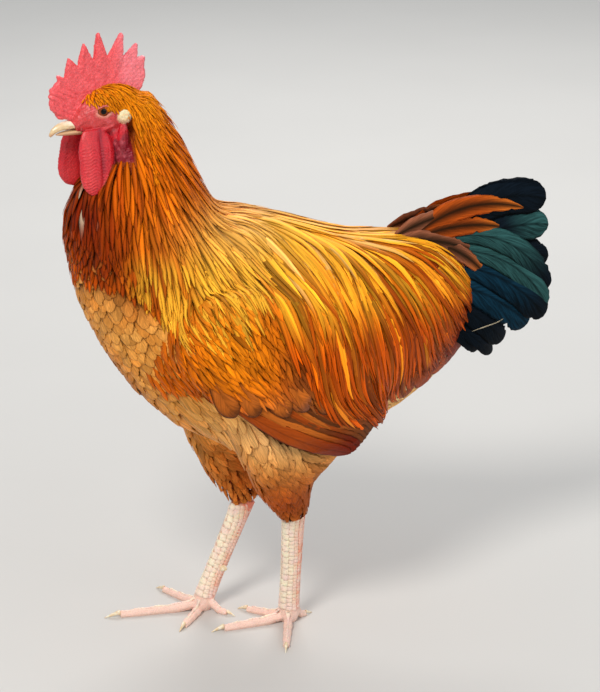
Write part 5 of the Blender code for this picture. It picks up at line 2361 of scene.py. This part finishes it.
@dataclass
class Tail:
    """The tail: a tent of broad black feathers with a green gloss, under brown coverts."""

    vane: Vane = Vane(Outline.OAR, 30, 11, camber=0.08, body=0.4 * MM, ridge=0.7 * MM, fray=0.12)
    cover_vane: Vane = Vane(Outline.LANCE, 26, 9, body=0.3 * MM, ridge=0.4 * MM, fray=0.22)
    slant: float = 0.20         # how far the tent's sides lean inwards at the top
    root_behind: float = 18.5 * MM
    root_share: float = 0.446   # the root's height in the tail's box
    layer_step: float = 1.3 * MM
    finish: PlumageFinish = PlumageFinish(
        "tail_plumage", barbs=0.5, fineness=1.6, length_scale=14.0, slant=0.35, rim=0.7,
        rim_from=0.8, shaft=0.4, painted_sheen=0.45, roughness=0.50, metal=0.3, warmth=(0.30, 0.42, 0.48),
        depth=0.3 * MM)
    cover: PlumageFinish = PlumageFinish(
        "tail_covert_plumage", barbs=0.3, fineness=1.6, length_scale=10.0, slant=0.4, rim=1.5,
        rim_from=0.45, shaft=0.5, heart=0.1)

    def feathers(self) -> list[Quill]:
        """Return the black feathers, in the order in which they are laid.

        Returns:
            The quills; places are millimetres behind and above the root of the tail.
        """
        black, teal = Tone.BLUE_BLACK, Tone.TEAL
        return [
            Quill((20, 32), (132, 66), 19 * MM, 0.4, black, black, 0.17),
            Quill((25, 18), (134, 40), 16 * MM, 0.8, black, teal, 0.10),
            Quill((20, 6), (134, 8), 15 * MM, 0.2, black, black, 0.06),
            Quill((10, 34), (132, -24), 13 * MM, 2.8, teal, black, 0.20),
            Quill((14, 24), (130, -42), 13 * MM, 2.2, teal, teal, 0.16),
            Quill((20, 10), (127, -54), 17 * MM, 1.6, Tone.DEEP_BLUE, black, 0.12),
            Quill((15, -6), (110, -60), 18 * MM, 1.0, Tone.DEEP_BLUE, Tone.DEEP_BLUE, 0.08),
            Quill((15, -20), (84, -74), 14 * MM, 0.6, black, black, 0.04),
            Quill((10, -36), (58, -80), 10 * MM, 0.2, black, black),
            Quill((20, -40), (72, -86), 8 * MM, 0.0, black, black),
            Quill((22, 26), (120, 50), 17 * MM, -2.0, black, black, 0.10),
            Quill((20, 10), (118, 16), 17 * MM, -4.0, black, black, 0.05),
            Quill((20, 0), (112, -14), 17 * MM, -6.0, black, black, 0.05),
            Quill((16, -10), (100, -36), 17 * MM, -9.0, black, black, 0.05),
            Quill((12, -20), (84, -54), 16 * MM, -13.0, black, black, 0.03),
        ]

    def coverts(self) -> list[Quill]:
        """Return the brown coverts over the root of the tail.

        Returns:
            The quills, placed as the black ones are.
        """
        brown, copper = Tone.MAUVE_BROWN, Tone.RUSSET
        return [
            Quill((-6, 46), (107, 60), 12 * MM, 3.4, Tone.CHESTNUT, copper, 0.12),
            Quill((-8, 40), (85, 42), 11 * MM, 3.8, Tone.CHESTNUT, copper, 0.08),
            Quill((45, -57), (92, -46), 0.5 * MM, 3.0, Tone.CREAM, Tone.CREAM),
            Quill((-14, 38), (68, -10), 10 * MM, 4.6, brown, copper, 0.12),
            Quill((-30, 44), (42, 64), 9 * MM, 3.2, brown, copper, 0.04),
            Quill((-30, 40), (56, 20), 11 * MM, 4.9, brown, brown, 0.06),
            Quill((-22, 30), (46, -22), 11 * MM, 4.2, Tone.RUSSET, brown, 0.08),
            Quill((-30, 20), (42, -44), 12 * MM, 4.0, Tone.RUSSET, Tone.CHESTNUT, 0.06),
        ]

    def lay(self, quills: Sequence[Quill], vane: Vane, side: str, rng: np.random.Generator,
            unwrap: Unwrap) -> Sheet:
        """Stand quills in one side of the tent.

        Args:
            quills: the feathers.
            vane: their mesh.
            side: which side of the tail.
            rng: the source of chance.
            unwrap: the flat layout for the bake.

        Returns:
            The feathers as one sheet.
        """
        low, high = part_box("tail")
        sign, share = SIGNS[side], vane.shares()
        lines = []
        for quill in quills:
            start, end = quill.start, quill.end
            path = quill.path(share, np.array([start[1] - end[1], end[0] - start[0]])) * MM
            x = low.x + self.root_behind + path[:, 0]
            z = low.z + self.root_share * (high.z - low.z) + path[:, 1]
            tent = 3.0 * MM + self.slant * np.maximum(high.z - 0.02 - z, 0)
            y = sign * (tent * ease(1.6, 0.5, share) + quill.layer * self.layer_step)
            lines.append(np.stack([x, y, z], -1))
        spots = np.stack(lines)
        outward = np.broadcast_to(unit(np.array([0.0, sign, 0.30])), spots.shape)
        sheet = laid(quills, vane, spots, outward, rng, unwrap)
        # turn the across value so that the painted sheen lies on the upper half of the feathers on both sides
        sheet.values["vane"][:, 0] *= -sign
        return sheet

    def build(self, unwrap: Unwrap) -> list[Piece]:
        """Make both sides of the tail and its coverts.

        Args:
            unwrap: the flat layout for the bake.

        Returns:
            Two pieces for each side.
        """
        rng = np.random.default_rng(41)
        rows = (("tail_feathers", self.feathers(), self.vane, self.finish.make(), "tail_plumage"),
                ("tail_coverts", self.coverts(), self.cover_vane, self.cover.make(), "wing_plumage"))
        pieces = [self.lay(quills, vane, side, rng, unwrap).make(f"{name}_{side}", material, slot)
                  for side in SIDES for name, quills, vane, material, slot in rows]
        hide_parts("tail")
        return pieces


# ---- Horn ----

@dataclass
class Horn:
    """Beak, claws and spurs, each melted smooth from its solid."""

    step: float = 0.45 * MM
    nostril: tuple[float, float] = (-30, -12.5)     # along and up in head places
    nostril_size: tuple[float, float] = (3.2, 1.1)
    nostril_depth: float = 0.8 * MM

    def shape(self, node: str) -> Sheet:
        """Smooth one node's solid."""
        return blended([node_sheet(node, 0.05 * MM)], self.step, 2)

    def beak(self, material: Material) -> list[Piece]:
        """Make both halves of the beak, pale along the ridge and darker at the edge, with painted shade in
        the nostrils.

        Args:
            material: their finish.

        Returns:
            The upper and the lower half.
        """
        pieces = []
        for node in ("beak_upper", "beak_lower"):
            sheet = self.shape(node)
            x, y, z = HEAD.local(sheet.points).T
            away = (np.stack([x, z], -1) - self.nostril) / self.nostril_size
            nostril = hill(np.hypot(*away.T), 0, 0.8) * (np.abs(y) > 2.5)
            if node == "beak_upper":
                sheet.points = sheet.points - point_normals(sheet) * (self.nostril_depth * nostril)[:, None]
            tint = mixed(Tone.HORN.over(sheet.points), Tone.HORN_PALE, ease(-13, -8.5, z + 0.25 * (x + 30)))
            # the nostril share is painted shade in the nostril's hollow
            tint = mixed(tint, Tone.ORANGE_BROWN, 0.35 * ease(-15.5, -19, z) + 0.6 * nostril)
            sheet.values = {"tint": tint}
            pieces.append(sheet.make(f"{node}_horn", material, "horn"))
            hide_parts(node)
        return pieces

    def nails(self, material: Material) -> Piece:
        """Make the eight claws and the two spurs as one piece.

        Args:
            material: their finish.

        Returns:
            The piece.
        """
        nodes = [f"claw_{toe}_{side}" for side in SIDES for toe in TOES] + [f"spur_{side}" for side in SIDES]
        sheets = [self.shape(node) for node in nodes]
        for sheet in sheets:
            cloud = 0.5 + 0.4 * ripple(sheet.points / MM, 4.0, 51)
            sheet.values = {"tint": mixed(Tone.HORN_PALE.over(sheet.points), Tone.HORN, cloud)}
        piece = Sheet.joined(sheets).make("claws_and_spurs", material, "horn")
        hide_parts(*nodes)
        return piece


# ---- Scales of the legs ----

@dataclass(frozen=True)
class Column:
    """One column of scales: its turn from the front in degrees and its scales' size in millimetres."""

    turn: float
    wide: float
    tall: float
    shift: float
    pink: float


@dataclass
class Scutes:
    """The plates round the shanks and over the toes."""

    grid: int = 5
    thick: float = 0.75 * MM
    root: float = 0.4 * MM      # how deep a plate stands in the skin
    from_floor: float = 17 * MM     # where the rows on the shank start and end
    from_hock: float = 3 * MM
    toe_from: float = 13 * MM
    toe_step: float = 4.2 * MM
    columns: tuple[Column, ...] = (
        Column(-28, 9.5, 6.4, 0.0, 0.02), Column(28, 9.5, 6.4, 0.5, 0.02), Column(-76, 6.2, 4.4, 0.25, 0.10),
        Column(76, 6.2, 4.4, 0.0, 0.10), Column(-112, 4.8, 3.6, 0.5, 0.35), Column(112, 4.8, 3.6, 0.25, 0.35),
        Column(-146, 4.6, 3.2, 0.0, 0.6), Column(146, 4.6, 3.2, 0.5, 0.6), Column(180, 4.6, 3.2, 0.25, 0.7))

    def plate(self, skin: Surface, middle: Array, down: Array, out: Array, tall: float, wide: float) -> Sheet:
        """Bend one plate over the skin.

        Args:
            skin: the bare skin.
            middle: the plate's middle.
            down: the direction in which plates overlap.
            out: the direction away from the leg.
            tall: half height.
            wide: half width.

        Returns:
            A closed, slightly domed plate.
        """
        across = unit(np.cross(out, down)[None])[0]
        u, v = np.meshgrid(*[np.linspace(-1, 1, self.grid)] * 2, indexing="ij")
        over, along = u * wide * (1 - 0.22 * np.abs(v) ** 3), v * tall * (1 - 0.12 * u ** 2)
        places = middle + across * over[..., None] + down * along[..., None]
        near, normals, _ = skin.nearest(places.reshape(-1, 3))
        dome = (1 - u ** 2) * (1 - 0.55 * v ** 2) + 0.3 * (v + 1) * 0.5
        top = near + normals * (self.thick * (0.15 + 0.85 * dome)).reshape(-1, 1)
        index = np.arange(self.grid ** 2).reshape(self.grid, -1)
        upper = np.stack([index[:-1, :-1], index[:-1, 1:], index[1:, 1:], index[1:, :-1]], -1).reshape(-1, 4)
        faces = np.stack([upper, index.size + upper[:, [0, 3, 2, 1]]], 1).reshape(-1, 4)
        edge = np.concatenate([index[0], index[1:, -1], index[-1, -2::-1], index[-2:0:-1, 0]])
        after = np.roll(edge, -1)
        rim = np.stack([edge, index.size + edge, index.size + after, after], -1)
        return Sheet(np.concatenate([top, near - normals * self.root]), np.concatenate([faces, rim]))

    def shank(self, side: str, skin: Surface) -> list[Sheet]:
        """Set columns of plates round one shank: broad ones in front, small ones at the sides and rear.

        Args:
            side: which leg.
            skin: the bare skin.

        Returns:
            The plates, each with its own tint.
        """
        low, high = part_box(f"shank_{side}")
        lowest, highest = low.z + self.from_floor, high.z - self.from_hock
        rng = np.random.default_rng(71)
        plates = []
        for column in self.columns:
            rows = int((highest - lowest) / (column.tall * MM))
            step = (highest - lowest) / rows
            turn = math.radians(column.turn)
            out = np.array([-math.cos(turn), math.sin(turn), 0])
            for row in range(rows):
                z = highest - (row + 0.5 + column.shift) * step
                middle = np.array([*shank_axis(side, z, 12 * MM, 6), z]) + out * 8 * MM
                wide = column.wide / 2 * MM * rng.uniform(0.94, 1.04)
                sheet = self.plate(skin, middle, np.array([0, 0, -1.0]), out, step * 0.60, wide)
                pink = column.pink * rng.uniform(0.6, 1.3)
                tint = mixed(Tone.SHANK_CREAM.over(sheet.points), Tone.SHANK_PINK, pink)
                sheet.values = {"tint": tint * rng.uniform(0.94, 1.05)}
                plates.append(sheet)
        return plates

    def toe(self, toe: str, side: str, skin: Surface) -> list[Sheet]:
        """Set one row of plates along the top of a toe.

        Args:
            toe: which toe.
            side: which leg.
            skin: the bare skin.

        Returns:
            The plates, each with its own tint.
        """
        rows = node_points(f"shank_{side}")
        foot = np.array([*rows[rows[:, 2] < 12 * MM, :2].mean(axis=0), 9 * MM])
        run = centre(f"claw_{toe}_{side}") * [1, 1, 0] + [0, 0, 6 * MM] - foot
        length = np.linalg.norm(run)
        ahead = run / length
        plates = []
        for k in range(int((length - self.toe_from - 6 * MM) / self.toe_step)):
            place = foot + ahead * (self.toe_from + k * self.toe_step) + [0, 0, 6 * MM]
            sheet = self.plate(skin, place, ahead, np.array([0, 0, 1.0]), self.toe_step * 0.60, 3.6 * MM)
            sheet.values = {"tint": Tone.SHANK_CREAM.over(sheet.points)}
            plates.append(sheet)
        return plates

    def build(self, skin: Surface, material: Material) -> list[Piece]:
        """Make the plates of both legs.

        Args:
            skin: the bare skin.
            material: the plates' finish.

        Returns:
            One piece for each leg.
        """
        pieces = []
        for side in SIDES:
            sheet = Sheet.joined(sum((self.toe(toe, side, skin) for toe in TOES), self.shank(side, skin)))
            cloud = 0.35 + 0.35 * ripple(sheet.points / MM, 9.0, 61)
            pink = np.clip(cloud + 0.4 * ease(40 * MM, 10 * MM, sheet.points[:, 2]), 0, 1)
            sheet.values["tint"] = mixed(sheet.values["tint"], Tone.TOE_PINK, pink)
            pieces.append(sheet.make(f"scutes_{side}", material, "leg_scale"))
        return pieces


# ---- Studio ----

@dataclass(frozen=True)
class Lamp:
    """One soft panel of light, aimed at the bird."""

    name: str
    place: Colour
    size: float
    power: float
    colour: Colour = (1.0, 1.0, 1.0)


@dataclass
class Studio:
    """The camera, the panels of light and the pale floor."""

    azimuth: float = -16.0
    elevation: float = 20.0
    distance: float = 2.6
    aim_up: float = 0.293
    aim_along: float = -0.0085
    frame_height: float = 0.692     # what the camera sees at the bird, in metres
    floor_size: float = 24.0
    aim: Colour = (0.0, 0.0, 0.3)   # what the lamps point at
    sky: Colour = (0.90, 0.95, 1.0)
    sky_strength: float = 0.55
    lamps: tuple[Lamp, ...] = (
        Lamp("key", (-1.5, -1.9, 2.9), 1.0, 72, (1.0, 0.98, 0.95)),
        Lamp("fill", (1.6, -2.6, 1.3), 2.4, 16),
        Lamp("rim", (0.8, 2.0, 2.2), 1.4, 40),
    )

    def camera(self) -> None:
        """Set the camera at the viewing angle."""
        data = bpy.data.cameras.new("camera")
        data.lens = data.sensor_width * self.distance / self.frame_height
        turn, rise = math.radians(self.azimuth), math.radians(self.elevation)
        back = Vector((math.sin(turn) * math.cos(rise), -math.cos(turn) * math.cos(rise), math.sin(rise)))
        holder = linked("camera", data)
        holder.location = Vector((self.aim_along, 0, self.aim_up)) + back * self.distance
        holder.rotation_euler = back.to_track_quat("Z", "Y").to_euler()
        bpy.context.scene.camera = holder

    def light(self) -> None:
        """Set the panels and the pale surroundings."""
        for lamp in self.lamps:
            data = bpy.data.lights.new(lamp.name, "AREA")
            data.shape = "DISK"
            data.size, data.energy, data.color = lamp.size, lamp.power, lamp.colour
            holder = linked(lamp.name, data)
            holder.location = lamp.place
            holder.rotation_euler = (Vector(lamp.place) - Vector(self.aim)).to_track_quat("Z", "Y").to_euler()
        world = bpy.data.worlds.new("surroundings")
        world.use_nodes = True
        background = world.node_tree.nodes["Background"]
        background.inputs["Color"].default_value = (*self.sky, 1)
        background.inputs["Strength"].default_value = self.sky_strength
        bpy.context.scene.world = world
        bpy.context.scene.view_settings.view_transform = "Standard"

    def floor(self) -> None:
        """Lay the floor."""
        half = self.floor_size / 2
        corners = np.array([(-half, -half, 0), (half, -half, 0), (half, half, 0), (-half, half, 0)])
        holder = held("floor", Sheet(corners, np.array([[0, 1, 2, 3]])))
        holder.data.materials.append(FloorFinish("pale_floor").make())

    def build(self) -> None:
        """Set up the whole studio."""
        self.camera()
        self.light()
        self.floor()


def smooth_form(solids: Sequence[Sheet], step: float = 4 * MM, rounds: int = 260) -> Sheet:
    """Blend solids into one form and fill the creases between them, leaving what bulges as it is.

    Args:
        solids: the solids.
        step: the size of the form's facets.
        rounds: how often the hollows are raised to the mean of their neighbours.

    Returns:
        The form that the coat lies on.
    """
    form = blended(solids, step, 3)
    for _ in range(rounds):
        normals = point_normals(form)
        mean = np.stack([spread(form, form.points[:, k], 1) for k in range(3)], -1)
        form.points = form.points + normals * np.maximum(dot(mean - form.points, normals), 0)[:, None]
    return form


def dress(form: Surface, markings: Markings) -> int:
    """Grow every tract of the coat.

    Args:
        form: the coat's form.
        markings: the pattern shared with the skin.

    Returns:
        The number of faces in the coat.
    """
    coat = Coat(form, Lie(), markings, Unwrap())
    tracts = (Belly, Rump, Breast, Thigh, Flank, WingBow, Cape, Saddle, Hackle, Crown, WingQuills)
    pieces = [piece for tract in tracts for piece in tract().build(coat)] + Tail().build(coat.unwrap)
    return sum(len(piece.data.polygons) for piece in pieces)


def main() -> None:
    """Build the bird in order."""
    logging.basicConfig(level=logging.INFO, format="%(message)s")
    Studio().build()
    LOG.info("studio ready")
    markings, skin = Markings(), Skin()
    leg = FleshFinish("leg_skin", grain=0.0005, mottle=0.2, roughness=0.5, glow=0.12).make()
    materials = [
        FleshFinish("under_coat_skin", roughness=0.8, glow=0.0, gloss=0.0).make(),
        FleshFinish("red_skin", depth=0.3 * MM, mottle=0.42).make(),
        FleshFinish("lobe_skin", grain=0.0006, mottle=0.2).make(), leg]
    homes = (*skin.under_coat, "head")
    form = smooth_form([node_sheet(name, skin.seam) for name in homes])
    skin.build(form, markings, materials)
    eye_finish = EyeFinish("eye_wet").make()
    for eye in skin.eyes:
        eye.make(eye_finish)
    horn = HornFinish("horn").make()
    Horn().beak(horn)
    Horn().nails(horn)
    Scutes().build(Surface(skin.whole, ()), leg)
    LOG.info("coat: %d faces", dress(Surface(form, homes), markings))


if __name__ == "__main__":
    main()
